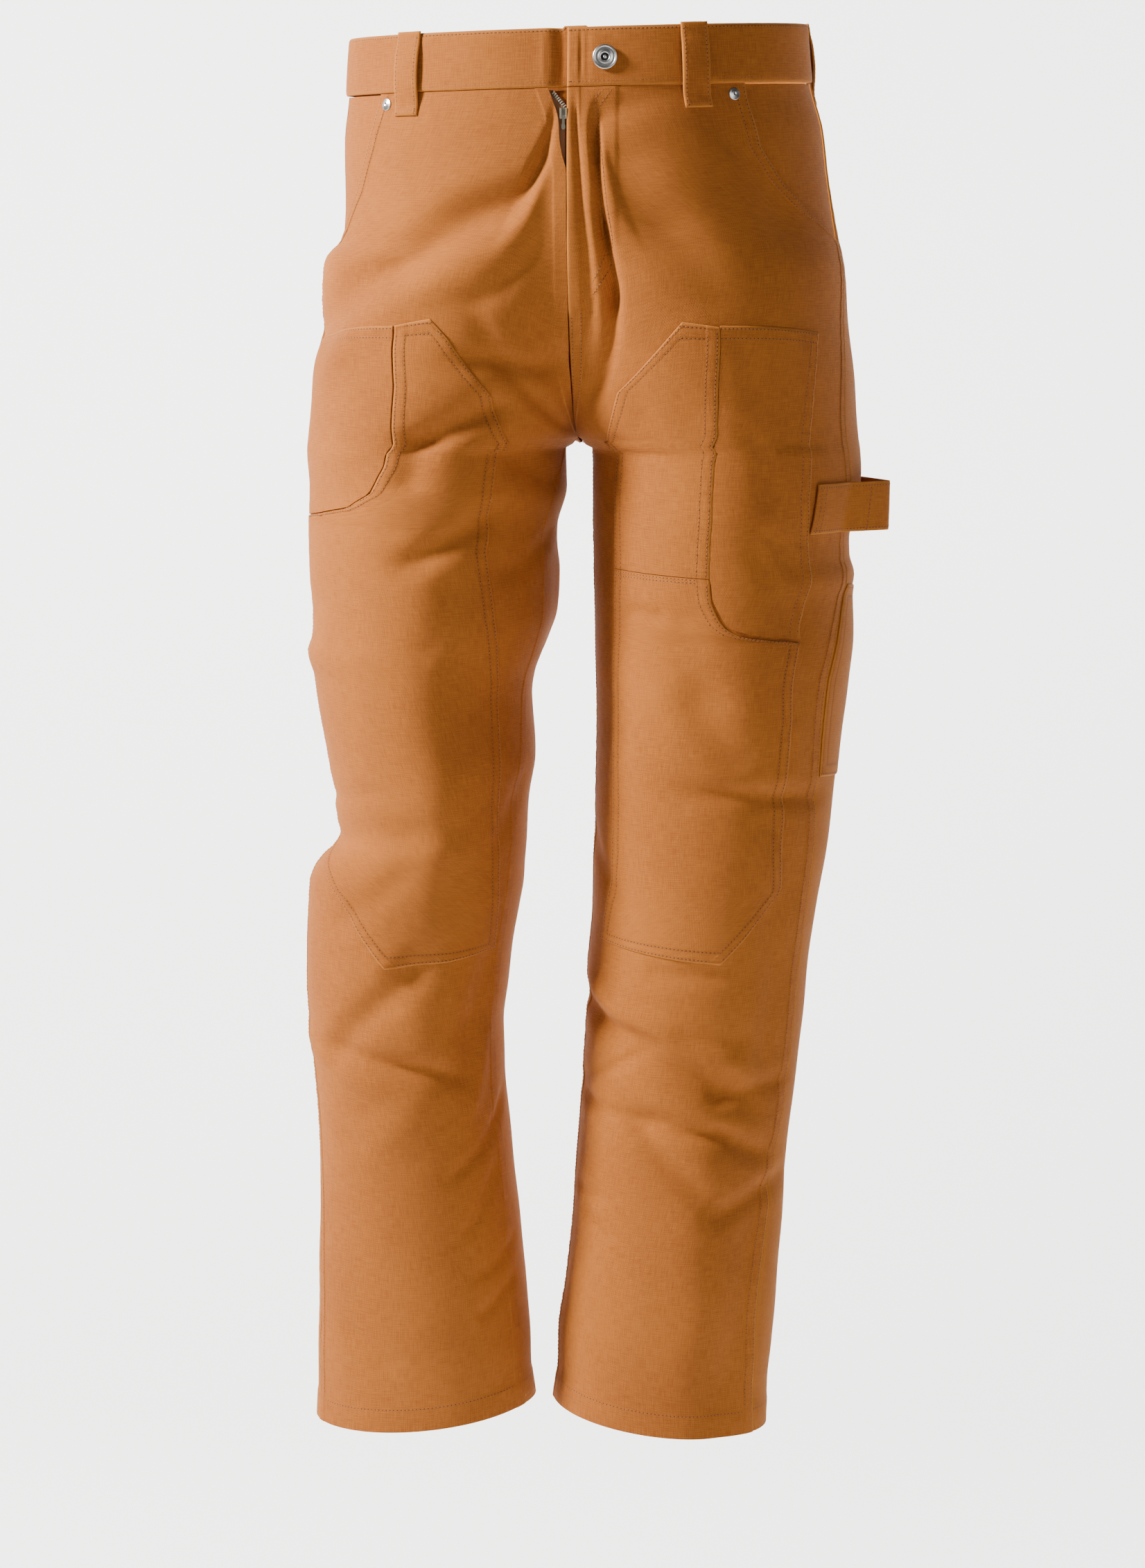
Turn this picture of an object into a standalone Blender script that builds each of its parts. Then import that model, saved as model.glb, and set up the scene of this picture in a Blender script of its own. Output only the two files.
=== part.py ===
"""Work trousers with double-front knee patches, standing open in their worn form.

Millimetres from the waist: `down` is measured down from the top of the waistband, and `s` runs
round each leg in quarters: 0 outseam side, 1 front-most line, 2 inner side, 3 back-most line.
Each panel is a lattice of smooth surface points, and every piece is cut from that lattice by an
outline, then given its wall by moving the same points out, so stacked pieces stay parallel.
"""
import math

import bmesh
import bpy
import numpy as np
from mathutils import Matrix, Vector

MM = 0.001
BAND = 42.0
CROTCH = 300.0
HEM = 1062.0
WALL = 1.2
GAP = 0.3
SEAM_GAP = 0.17
HEM_RISE = 17.0
HEM_DIP = 4.0
TILT_X = 0.028
TILT_Y = 0.045
ROUND = 0.56
SIDE = {"right": -1.0, "left": 1.0}

# Columns: down, outer edge, inner edge, each as a distance from the centre plane.
LEG = {
    "right": (
        (0, 167, 0), (42, 170, 0), (75, 173.5, 0), (112, 174, 0), (150, 176.5, 0), (166, 189.5, 0),
        (190, 191.5, 0), (215, 192.5, 0), (232, 196.5, 0), (272, 200, 0), (300, 202.5, 0),
        (307, 203, 11), (335, 201, 11), (366, 201.5, 18.5), (400, 201, 19), (430, 199, 20.5),
        (447, 199.5, 25), (460, 203, 29), (477, 198, 35), (492, 196, 37), (510, 193.5, 36),
        (540, 188, 34.5), (572, 183, 39), (599, 182, 41), (608, 188, 41.5), (621, 197.5, 42.5),
        (636, 204, 43.5), (655, 205.5, 47), (685, 207.5, 52), (717, 208, 55.5), (750, 206, 59.5),
        (782, 203, 59), (815, 201, 56.5), (864, 200, 51.5), (914, 201, 46.5), (964, 202, 42),
        (1014, 203.5, 39), (1035, 203.5, 38.5), (1062, 204.5, 36)),
    "left": (
        (0, 167, 0), (42, 171, 0), (75, 180, 0), (112, 185, 0), (150, 192, 0), (172, 197, 0),
        (210, 200.5, 0), (250, 205, 0), (300, 209, 0), (307, 210, 11.5), (325, 211, 12),
        (350, 208, 12), (374, 203, 12.5), (386, 203.5, 13), (400, 207, 13), (416, 204.5, 13.5),
        (447, 205.5, 14.5), (480, 202, 15), (520, 197.5, 15.5), (560, 193, 15), (604, 189, 13.5),
        (652, 181, 12), (701, 174.5, 9), (750, 170, 7), (800, 164.5, 3.5), (850, 159, 0),
        (900, 156.5, -3.5), (950, 153, -8.5), (1000, 149, -14), (1030, 145.5, -14.5), (1062, 145, -18.5))}
# Columns: down, front depth, back depth, front-most share of the width, back-most share.
DEPTH = (
    (0, -117, 112, 0.12, 0.14), (42, -121, 118, 0.12, 0.18), (110, -126, 132, 0.2, 0.34),
    (170, -126, 142, 0.34, 0.46), (230, -121, 143, 0.46, 0.52), (300, -114, 133, 0.5, 0.5),
    (360, -110, 120, 0.5, 0.5), (440, -104, 108, 0.5, 0.5), (520, -97, 98, 0.5, 0.5),
    (600, -88, 88, 0.5, 0.5), (700, -79, 83, 0.5, 0.5), (800, -70, 80, 0.5, 0.5),
    (900, -63, 76, 0.5, 0.5), (1000, -58, 70, 0.5, 0.5), (1062, -56, 66, 0.5, 0.5))
# Columns: share of the way down the rise, down, depth.
RISE = {
    "front": ((0, 42, -121), (0.25, 118, -125), (0.5, 198, -110), (0.7, 249, -84), (0.85, 280, -50),
              (0.94, 293, -18), (1, 299, 15)),
    "back": ((0, 42, 118), (0.25, 118, 130), (0.5, 198, 129), (0.7, 256, 108), (0.85, 292, 76),
             (0.94, 304, 46), (1, 299, 15))}
# Columns: down, outseam s, inseam s.
SEAM = {
    "right": ((0, 0, 2), (300, 0, 2), (307, 0, 1.97), (350, 0, 1.82), (480, 0.02, 1.84), (560, 0.02, 1.76),
              (760, 0.1, 1.78), (860, 0.16, 1.8), (960, 0.2, 1.76), (1062, 0.2, 1.76)),
    "left": ((0, 0, 2), (42, 0.02, 2), (110, 0.05, 2), (170, 0.1, 2), (300, 0.27, 2), (307, 0.27, 2),
             (380, 0.2, 2), (480, 0.38, 2), (560, 0.34, 2), (700, 0.27, 2), (800, 0.26, 2),
             (950, 0.36, 2), (1062, 0.3, 2))}
# Columns: leg, start s, start down, end s, end down, half width, height (troughs are negative).
FOLDS = (
    ("right", 1.3, 92, 0.2, 214, 12, -4.5),
    ("right", 1.2, 128, 0.55, 226, 12, 2.5),
    ("right", 1.0, 384, 1.35, 352, 10, -3.5),
    ("right", 0.85, 304, 1.25, 262, 10, -2.0),
    ("right", 1.2, 208, 1.7, 262, 9, -2.5),
    ("right", 0.0, 604, 0.95, 588, 13, -3.5),
    ("right", 0.75, 764, 1.25, 776, 9, -3.0),
    ("right", 1.6, 700, 1.48, 766, 10, -3.0),
    ("right", 0.2, 758, 0.8, 782, 11, 2.5),
    ("right", 3.5, 640, 2.5, 600, 14, -4.0),
    ("right", 3.4, 560, 2.6, 640, 14, -3.5),
    ("left", 1.78, 60, 1.8, 168, 7, -3.0),
    ("left", 1.66, 736, 0.85, 784, 10, -4.5),
    ("left", 1.62, 716, 0.82, 760, 9, 2.5),
    ("left", 1.2, 806, 0.5, 834, 9, -3.5),
    ("left", 1.35, 802, 0.9, 862, 9, -2.5),
    ("left", 0.98, 756, 0.6, 796, 11, -3.0),
    ("left", 1.1, 556, 0.6, 560, 9, -1.8),
    ("left", 3.5, 620, 2.5, 650, 14, -4.0),
    ("left", 3.4, 680, 2.6, 600, 14, -3.5))
QUARTER = 95.0

# Lattice rows in down, finer where the outline turns.
ROWS = (42, 62, 84, 108, 130, 150, 166, 190, 215, 240, 262, 281, 293, 300, 307, 325, 345, 364, 380, 402, 428, 447,
        470, 495, 520, 548, 575, 600, 618, 638, 662, 690, 720, 748, 776, 806, 836, 868, 900, 932, 964, 996,
        1026, 1045, 1062)
COLUMNS = 11

# Outlines in lattice shares: u across the panel from its first seam, down in millimetres.
V_EDGE = ((13.0, 42), (12.4, 44), (7.2, 56), (5.5, 63), (5.0, 74), (3.4, 82), (0.2, 92))
SCOOP = {
    "right": ((0.215, 42), (0.205, 60), (0.19, 82), (0.157, 114), (0.1, 142), (0.0, 163)),
    "left": ((0.25, 42), (0.248, 58), (0.236, 88), (0.192, 114), (0.135, 134), (0.06, 147), (0.0, 155))}
FACING_EDGE = {"right": ((0.33, 42), (0.3, 110), (0.2, 160), (0.0, 192)),
               "left": ((0.36, 42), (0.34, 100), (0.24, 150), (0.0, 188))}
PATCH_RIGHT = ((0.001, 226), (0.38, 212), (0.452, 204), (0.646, 254), (0.706, 320), (0.756, 360),
               (0.74, 378), (0.762, 430), (0.831, 476), (0.875, 570), (0.947, 682), (0.787, 690),
               (0.508, 692), (0.305, 640), (0.21, 625), (0.1, 612), (0.001, 600))
J_RIGHT = ((0.001, 226), (0.38, 212), (0.411, 256), (0.417, 290), (0.425, 316), (0.4, 336), (0.32, 348),
           (0.173, 354), (0.001, 358))
PATCH_UPPER = ((0.393, 210), (0.464, 204), (0.709, 246), (0.762, 332), (0.766, 391.6), (0.47, 395.9),
               (0.4635, 364), (0.44, 310), (0.409, 278))
PATCH_LOWER = ((0.766, 392.4), (0.762, 538), (0.765, 612), (0.815, 674), (0.345, 686), (0.138, 632),
               (0.154, 606), (0.151, 550), (0.138, 500), (0.157, 445), (0.3, 441), (0.361, 439),
               (0.406, 431), (0.449, 414.5), (0.47, 396.8))
J_LEFT = ((0.135, 220), (0.389, 210), (0.405, 278), (0.436, 310), (0.4595, 364), (0.466, 396),
          (0.445, 412), (0.402, 428), (0.358, 436), (0.298, 438), (0.157, 442), (0.176, 410), (0.187, 338),
          (0.142, 254))
TOOL_POCKET = ((0.70, 414), (0.993, 405), (0.995, 480), (0.995, 548), (0.70, 556))

# Columns: leg, s at the loop's centre.
LOOPS = (("right", 0.568), ("left", 0.70), ("right", 3.72), ("left", 3.86), ("left", 2.0))
LOOP_WIDTH = 20.0
LOOP_WALL = 1.8
# Columns: down, how far out the loop's inner face stands.
LOOP_LINE = ((-1.0, 3.35), (6, 3.8), (16, 5.4), (28, 5.8), (38, 4.9), (46, 3.2), (52, 1.8), (59, 1.55))

BAND_WALL = 3.0
UNDERLAP = 38.0
UNDERLAP_SHIFT = -3.5
BUTTON_AT = (27.0, 22.0)
BUTTON_RADIUS = 8.8
RIVETS = {"right": (0.235, 50.0), "left": (0.275, 50.0)}
RIVET_RADIUS = 4.4
ZIP_X = -2.4
SLIDER_TOP = 54.0
SLIDER_LENGTH = 7.5
TAB_HINGE = 59.5
TAB_LENGTH = 9.5
TAB_WIDTH = 2.2
TAB_WALL = 0.8
TAB_OUT = 1.9
STRAP_TOP = 329.0
STRAP_HEIGHT = 36.0
STRAP_REACH = 234.0

CANVAS = ((0.43, 0.165, 0.05), 0.9, 0.0)
CANVAS_DARK = ((0.36, 0.135, 0.042), 0.9, 0.0)
TAPE = ((0.30, 0.115, 0.04), 0.85, 0.0)
NICKEL = ((0.62, 0.61, 0.59), 0.32, 1.0)
ZIP_METAL = ((0.55, 0.50, 0.40), 0.35, 1.0)


# Smooth columns

def smooth(x, xs, ys):
    """Monotone cubic through a table's points: no overshoot between rows."""
    xs, ys = np.asarray(xs, float), np.asarray(ys, float)
    h = np.diff(xs)
    d = np.diff(ys) / h
    m = np.zeros_like(ys)
    m[0], m[-1] = d[0], d[-1]
    turn = d[:-1] * d[1:] > 0
    a, b = np.where(turn, d[:-1], 1), np.where(turn, d[1:], 1)
    w1, w2 = 2 * h[1:] + h[:-1], h[1:] + 2 * h[:-1]
    m[1:-1] = np.where(turn, (w1 + w2) / (w1 / a + w2 / b), 0)
    k = np.clip(np.searchsorted(xs, x) - 1, 0, len(h) - 1)
    t = np.clip((x - xs[k]) / h[k], 0, 1)
    start = ys[k] * (1 + 2 * t) * (1 - t) ** 2 + h[k] * m[k] * t * (1 - t) ** 2
    return start + ys[k + 1] * t * t * (3 - 2 * t) + h[k] * m[k + 1] * t * t * (t - 1)


def column(table, number, x):
    rows = np.array(table, float)
    return smooth(np.asarray(x, float), rows[:, 0], rows[:, number])


def step(t):
    t = np.clip(t, 0, 1)
    return t * t * (3 - 2 * t)


def arc(t, a, b, c, d):
    """Cubic from a to d, drawn towards b and c."""
    return a * (1 - t) ** 3 + 3 * b * t * (1 - t) ** 2 + 3 * c * t * t * (1 - t) + d * t ** 3


# The garment's surface

def bare(leg, s, down, side):
    """Surface points before folds, from the leg's outer, inner, front and back edges."""
    s, down = np.broadcast_arrays(np.asarray(s, float), np.asarray(down, float))
    s = np.where(s >= 4, s - 4, s)
    s = np.minimum(s, 2 - 1e-6) if side == "front" else s
    outer, inner = column(LEG[leg], 1, down), column(LEG[leg], 2, down)
    front, back = column(DEPTH, 1, down), column(DEPTH, 2, down)
    above = down < CROTCH
    rise = np.clip((down - BAND) / (CROTCH - BAND), 0, 1)
    turn = step((rise - 0.35) / 0.65)
    inner = inner + np.where(down <= CROTCH, 1.5 * turn, 0)
    drift = inner * 0.5 * step((down - 200) / 100)
    front_x, back_x = outer * column(DEPTH, 3, down) + drift, outer * column(DEPTH, 4, down) + drift
    middle = (front + back) / 2
    below_y = 15 + (middle - 11) * step((down - CROTCH) / 60)
    front_in = np.where(down < BAND, front, np.where(above, column(RISE["front"], 2, rise), below_y))
    back_in = np.where(down < BAND, back, np.where(above, column(RISE["back"], 2, rise), below_y))
    q = np.floor(s).astype(int)
    t = s - q
    pull = ROUND * (1 - turn)
    x = np.select([q == 0, q == 1, q == 2, q == 3], [
        arc(t, outer, outer, front_x + ROUND * (outer - front_x), front_x),
        arc(t, front_x, front_x - ROUND * (front_x - inner), inner + pull * (front_x - inner), inner),
        arc(t, inner, inner + pull * (back_x - inner), back_x - ROUND * (back_x - inner), back_x),
        arc(t, back_x, back_x + ROUND * (outer - back_x), outer, outer)])
    bend = ROUND * turn
    y = np.select([q == 0, q == 1, q == 2, q == 3], [
        arc(t, middle, middle + ROUND * (front - middle), front, front),
        arc(t, front, front, front_in - bend * (front_in - front), front_in),
        arc(t, back_in, back_in + bend * (back - back_in), back, back),
        arc(t, back, back, middle + ROUND * (back - middle), middle)])
    inside = above & (down > BAND)
    fade = -(1 - step((down - CROTCH) / 40))
    front_drop = np.where(inside, column(RISE["front"], 1, rise) - down, np.where(above, 0, fade))
    back_drop = np.where(inside, column(RISE["back"], 1, rise) - down, np.where(above, 0, fade))
    depth = down + np.where(s < 2, step((s - 0.5) / 1.5) * front_drop, step((3.5 - s) / 1.5) * back_drop)
    x_side = SIDE[leg] * x
    share = np.clip((outer - x) / (outer - inner), 0, 1)
    z = -depth + (TILT_X * x_side + TILT_Y * y) * (1 - step(depth / 250))
    dip = HEM_DIP * 4 * share * (1 - share) * (y < 20)
    z = z + (HEM_RISE * share - dip) * step((depth - 920) / 140)
    return np.stack([x_side, y, z], -1)


def outward(leg, s, down, side):
    """Unit direction out of the cloth."""
    along = bare(leg, s + 0.01, down, side) - bare(leg, s - 0.01, down, side)
    fall = bare(leg, s, down + 1, side) - bare(leg, s, np.maximum(down - 1, 0), side)
    n = np.cross(along, fall) * SIDE[leg]
    return n / np.maximum(np.linalg.norm(n, axis=-1, keepdims=True), 1e-9)


def fold_height(leg, s, down):
    """Sum of soft troughs and ridges: exp(-(across/width)^2), fading past each end."""
    total = np.zeros(np.broadcast(s, down).shape)
    for name, s0, d0, s1, d1, width, height in FOLDS:
        if name != leg:
            continue
        way = np.array([(s1 - s0) * QUARTER, d1 - d0])
        length = np.hypot(*way)
        way = way / length
        from_s = (np.mod(s - s0 + 2, 4) - 2) * QUARTER
        from_d = down - d0
        along = from_s * way[0] + from_d * way[1]
        across = from_s * way[1] - from_d * way[0]
        past = np.maximum(np.maximum(-along, along - length), 0)
        apart = (down < CROTCH) & ((s < 2) != (s0 < 2)) & (np.abs(s - 2) < 1)
        total += np.where(apart, 0, height * np.exp(-(across / width) ** 2 - (past / (0.3 * length)) ** 2))
    return total * step((down - BAND) / 25)


def cloth(leg, s, down, out, side):
    """Points on the folded cloth, moved out by `out`, in metres."""
    s, down = np.asarray(s, float), np.asarray(down, float)
    lift = fold_height(leg, s, down) + out
    at = bare(leg, s, down, side) + outward(leg, s, down, side) * lift[..., None]
    keep = down < CROTCH + 6
    at[..., 0] = np.where(keep, SIDE[leg] * np.maximum(SIDE[leg] * at[..., 0], 0.15), at[..., 0])
    return at * MM


def centre_s(leg, x, down):
    """The s on the front whose surface stands `x` from the centre plane."""
    trial = np.linspace(0.6, 2, 281)
    far = bare(leg, trial, np.full(281, float(down)), "front")[:, 0] * SIDE[leg]
    return float(np.interp(-x, -far, trial))


# Solids

def finish(name, verts, faces, look, soft=True):
    mesh = bpy.data.meshes.new(name)
    mesh.from_pydata([tuple(v) for v in verts], [], faces)
    bm = bmesh.new()
    bm.from_mesh(mesh)
    bmesh.ops.remove_doubles(bm, verts=bm.verts, dist=2e-6)
    bmesh.ops.triangulate(bm, faces=bm.faces)
    bmesh.ops.recalc_face_normals(bm, faces=bm.faces)
    if bm.calc_volume(signed=True) < 0:
        bmesh.ops.reverse_faces(bm, faces=bm.faces)
    bm.to_mesh(mesh)
    bm.free()
    for polygon in mesh.polygons:
        polygon.use_smooth = soft
    material = bpy.data.materials.new(name)
    material.use_nodes = True
    shader = material.node_tree.nodes["Principled BSDF"]
    shader.inputs["Base Color"].default_value = (*look[0], 1)
    shader.inputs["Roughness"].default_value = look[1]
    shader.inputs["Metallic"].default_value = look[2]
    material.diffuse_color = (*look[0], 1)
    mesh.materials.append(material)
    made = bpy.data.objects.new(name, mesh)
    bpy.context.scene.collection.objects.link(made)
    return made


def panel_lattice(leg, side):
    """Rows and columns of s between a panel's two seams, set in from each by half the seam gap."""
    down = np.array(ROWS, float)
    out_s, in_s = column(SEAM[leg], 1, down), column(SEAM[leg], 2, down)
    first, last = (out_s, in_s) if side == "front" else (in_s, out_s + 4)
    def rate(s):
        away = np.where(s > 2.5, -0.02, 0.02) if side == "front" else 0.02
        return np.linalg.norm(bare(leg, s + away, down, side) - bare(leg, s, down, side), axis=-1) / 0.02
    first = first + SEAM_GAP / np.maximum(rate(first), 8)
    last = last - SEAM_GAP / np.maximum(rate(last - 0.02), 8)
    u = np.linspace(0, 1, COLUMNS + 1)
    return down, u, first[:, None] + (last - first)[:, None] * u


def clip(outline, triangle):
    """The part of an outline inside a triangle, both as lists of (u, down)."""
    (ax, ay), (bx, by), (cx, cy) = triangle
    if (bx - ax) * (cy - ay) - (by - ay) * (cx - ax) < 0:
        triangle = triangle[::-1]
    kept = list(outline)
    for n in range(3):
        (ax, ay), (bx, by) = triangle[n], triangle[(n + 1) % 3]
        source, kept = kept, []
        for m, here in enumerate(source):
            there = source[(m + 1) % len(source)]
            one = (bx - ax) * (here[1] - ay) - (by - ay) * (here[0] - ax)
            two = (bx - ax) * (there[1] - ay) - (by - ay) * (there[0] - ax)
            if one >= 0:
                kept.append(here)
            if one * two < 0:
                share = one / (one - two)
                kept.append((here[0] + (there[0] - here[0]) * share, here[1] + (there[1] - here[1]) * share))
        if not kept:
            break
    return kept


def facet_weights(down, u, share, depth):
    """The lattice corners round a place, each with its weight on the flat triangle there."""
    r = int(np.clip(np.searchsorted(down, depth) - 1, 0, len(down) - 2))
    c = int(np.clip(np.searchsorted(u, share) - 1, 0, len(u) - 2))
    p, q = (share - u[c]) / (u[c + 1] - u[c]), (depth - down[r]) / (down[r + 1] - down[r])
    if p >= q:
        return ((r, c), 1 - p), ((r, c + 1), p - q), ((r + 1, c + 1), q)
    return ((r, c), 1 - q), ((r + 1, c + 1), p), ((r + 1, c), q - p)


def on_facet(leg, side, s, depth, out):
    """A point on the panel's own flat facets, moved out, in metres."""
    down, u, grid = LATTICE[leg, side]
    share = lattice_share(leg, side, s, depth)
    corners = facet_weights(down, u, share, depth)
    places = cloth(leg, grid, np.broadcast_to(down[:, None], grid.shape), out, side)
    return sum(places[k] * w for k, w in corners)


def cut(name, leg, side, outline, inner_out, outer_out, look, soft=True):
    """A piece cut from a panel's lattice by its outline, with its wall between two offsets."""
    down, u, s = LATTICE[leg, side]
    full = np.broadcast_to(down[:, None], s.shape)
    inner, outer = (cloth(leg, s, full, out, side) for out in (inner_out, outer_out))
    flat = bmesh.new()
    for r in range(len(down) - 1):
        for c in range(len(u) - 1):
            a, b, d, e = (u[c], down[r]), (u[c + 1], down[r]), (u[c + 1], down[r + 1]), (u[c], down[r + 1])
            for triangle in ((a, b, d), (a, d, e)):
                piece = clip(outline, triangle)
                if len(piece) > 2:
                    corners = [flat.verts.new((p[0] * 230, p[1], 0)) for p in piece]
                    flat.faces.new(corners)
    bmesh.ops.remove_doubles(flat, verts=flat.verts, dist=0.08)
    bmesh.ops.dissolve_degenerate(flat, edges=flat.edges, dist=0.05)
    flat.verts.index_update()
    places = [facet_weights(down, u, vert.co.x / 230, vert.co.y) for vert in flat.verts]
    count = len(places)
    verts = [sum(grid[k] * w for k, w in row) for grid in (outer, inner) for row in places]
    faces = []
    for face in flat.faces:
        ring = [v.index for v in face.verts]
        faces.append(ring)
        faces.append([count + i for i in reversed(ring)])
    for edge in flat.edges:
        if len(edge.link_faces) == 1:
            a, b = (v.index for v in edge.verts)
            faces.append([a, b, count + b, count + a])
    flat.free()
    return finish(name, verts, faces, look, soft)


def wall_solid(name, inner, outer, look, soft=True):
    """Closed wall between two grids of points, rows by columns."""
    rows, cols = inner.shape[:2]
    verts = np.concatenate([inner.reshape(-1, 3), outer.reshape(-1, 3)])
    n = rows * cols
    faces = []
    for r in range(rows - 1):
        for c in range(cols - 1):
            a, b, d, e = r * cols + c, r * cols + c + 1, (r + 1) * cols + c + 1, (r + 1) * cols + c
            faces.append([n + a, n + b, n + d, n + e])
            faces.append([e, d, b, a])
    rim = [c for c in range(cols)] + [r * cols + cols - 1 for r in range(1, rows)]
    rim += [(rows - 1) * cols + c for c in range(cols - 2, -1, -1)] + [r * cols for r in range(rows - 2, 0, -1)]
    for k, a in enumerate(rim):
        b = rim[(k + 1) % len(rim)]
        faces.append([a, b, n + b, n + a])
    return finish(name, verts, faces, look, soft)


def turned(name, at, direction, profile, segments, look):
    """A shape turned about its own axis; profile rows are radius and height from the seat."""
    turn = Vector(direction).to_track_quat("Z", "Y").to_matrix()
    verts, faces = [], []
    for radius, height in profile:
        for k in range(segments):
            angle = 2 * math.pi * k / segments
            at_ring = Vector((radius * math.cos(angle), radius * math.sin(angle), height)) * MM
            verts.append(Vector(at) + turn @ at_ring)
    for row in range(len(profile) - 1):
        for k in range(segments):
            a, b = row * segments + k, row * segments + (k + 1) % segments
            faces.append([a, b, b + segments, a + segments])
    faces.append(list(range(segments))[::-1])
    faces.append([(len(profile) - 1) * segments + k for k in range(segments)])
    return finish(name, verts, faces, look)


for old in list(bpy.data.objects):
    bpy.data.objects.remove(old)

LATTICE = {(leg, side): panel_lattice(leg, side) for leg in SIDE for side in ("front", "back")}


def lattice_share(leg, side, s, down):
    """The lattice's u at a given s and down."""
    rows, u, grid = LATTICE[leg, side]
    line = np.array([np.interp(down, rows, grid[:, c]) for c in range(len(u))])
    return float(np.interp(s, line, u))


# Panels

v_line = [(lattice_share("right", "front", centre_s("right", x, d), d), d) for x, d in V_EDGE]
front_right = list(SCOOP["right"]) + [(0.0, HEM), (1.0, HEM), (1.0, V_EDGE[-1][1])] + v_line[-2::-1]
front_left = list(SCOOP["left"]) + [(0.0, HEM), (1.0, HEM), (1.0, BAND)]
whole = [(0.0, BAND), (0.0, HEM), (1.0, HEM), (1.0, BAND)]
front_right = [(u, max(d, BAND + 0.2)) for u, d in front_right]
front_left = [(u, max(d, BAND + 0.2)) for u, d in front_left]
whole = [(u, max(d, BAND + 0.2)) for u, d in whole]
cut("front_right", "right", "front", front_right, 0, WALL, CANVAS)
cut("front_left", "left", "front", front_left, 0, WALL, CANVAS)
cut("back_right", "right", "back", whole, 0, WALL, CANVAS_DARK)
cut("back_left", "left", "back", whole, 0, WALL, CANVAS_DARK)

# Scoop pocket facings lie under the fronts and reach the outseam and the waistband.
for leg in ("right", "left"):
    facing = [(0.002, BAND + 0.6)] + [(u, max(d, BAND + 0.6)) for u, d in FACING_EDGE[leg]]
    facing[-1] = (0.002, facing[-1][1])
    cut("pocket_facing_" + leg, leg, "front", facing[::-1], -GAP - WALL, -GAP, CANVAS)

# Knee patches and the pockets set on them
inlay = list(J_RIGHT)
cover = [(0.384, 211.8), (0.452, 204)] + list(PATCH_RIGHT[3:]) + [
    (0.001, 358.4), (0.174, 354.4), (0.323, 348.4), (0.404, 336.4), (0.4285, 316), (0.4205, 290), (0.4145, 256)]
cut("knee_patch_right", "right", "front", cover, WALL + GAP, 2 * WALL + GAP, CANVAS)
cut("thigh_inlay_right", "right", "front", inlay, WALL + GAP, 2 * WALL, CANVAS)
cut("knee_patch_left_upper", "left", "front", PATCH_UPPER, WALL + GAP, 2 * WALL + GAP, CANVAS)
cut("knee_patch_left_lower", "left", "front", PATCH_LOWER, WALL + GAP, 2 * WALL + GAP, CANVAS)
cut("thigh_pocket_left", "left", "front", J_LEFT, WALL + GAP, 2 * WALL, CANVAS)
cut("tool_pocket", "left", "back", TOOL_POCKET, WALL + GAP, 2 * WALL + GAP, CANVAS_DARK)

# Waistband: one strip round the waist, ending in the underlap behind the wearer's left end
def band_path():
    """Rows of leg, s, side and shift, from the wearer's left end to the end of the underlap."""
    start = centre_s("left", 0.25, 20)
    path = [("left", s, "front", 0.0) for s in np.linspace(start, 0, 11)]
    path += [("left", s, "back", 0.0) for s in np.linspace(3.8, 2, 10)]
    path += [("right", s, "back", 0.0) for s in np.linspace(2.2, 4, 10)]
    path += [("right", s, "front", 0.0) for s in np.linspace(0.2, centre_s("right", 15, 20), 7)]
    for x in (11.0, 7.0, 3.0):
        path.append(("right", centre_s("right", x, 20), "front", UNDERLAP_SHIFT * float(step((15 - x) / 12))))
    for x in (4.0, 12.0, 20.0, 29.0, UNDERLAP):
        path.append(("left", centre_s("left", x, 20), "front", UNDERLAP_SHIFT))
    return path


def band_grid(out):
    rows = []
    for down in (0.0, 14.0, 28.0, BAND - 0.2):
        line = []
        for leg, s, side, shift in band_path():
            lower = 1.5 * (1 - down / BAND) if shift == UNDERLAP_SHIFT and s > 1.2 else 0.0
            at = bare(leg, np.array([s]), np.array([down]), side)[0]
            at = at + outward(leg, np.array([s]), np.array([down + 1.0]), side)[0] * (out + shift)
            at[2] = at[2] + lower
            line.append(at * MM)
        rows.append(line)
    return np.array(rows)


wall_solid("waistband", band_grid(0.0), band_grid(BAND_WALL), CANVAS)

# Belt loops
def loop_grid(leg, centre, extra):
    rows = []
    for down, out in LOOP_LINE:
        line = []
        for share in (-0.5, 0.0, 0.5):
            side = "front" if centre < 2 else "back"
            rate = np.linalg.norm(bare(leg, np.array([centre + 0.05]), np.array([20.0]), side)
                                  - bare(leg, np.array([centre]), np.array([20.0]), side)) / 0.05
            s = centre + share * LOOP_WIDTH / rate
            owner = leg
            if centre == 2.0 and share < 0:
                owner, s = "right", 4 - s
            if down > BAND + 5:
                line.append(on_facet(owner, side, s, down, out + extra + 0.5))
                continue
            d = np.array([max(down, 0.0)])
            at = bare(owner, np.array([s]), d, side)[0]
            at = at + outward(owner, np.array([s]), d + 1.0, side)[0] * (out + extra)
            at[2] += max(-down, 0.0)
            line.append(at * MM)
        rows.append(line)
    return np.array(rows)


for number, (leg, centre) in enumerate(LOOPS):
    wall_solid("belt_loop_%d" % (number + 1), loop_grid(leg, centre, 0), loop_grid(leg, centre, LOOP_WALL), CANVAS)

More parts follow.
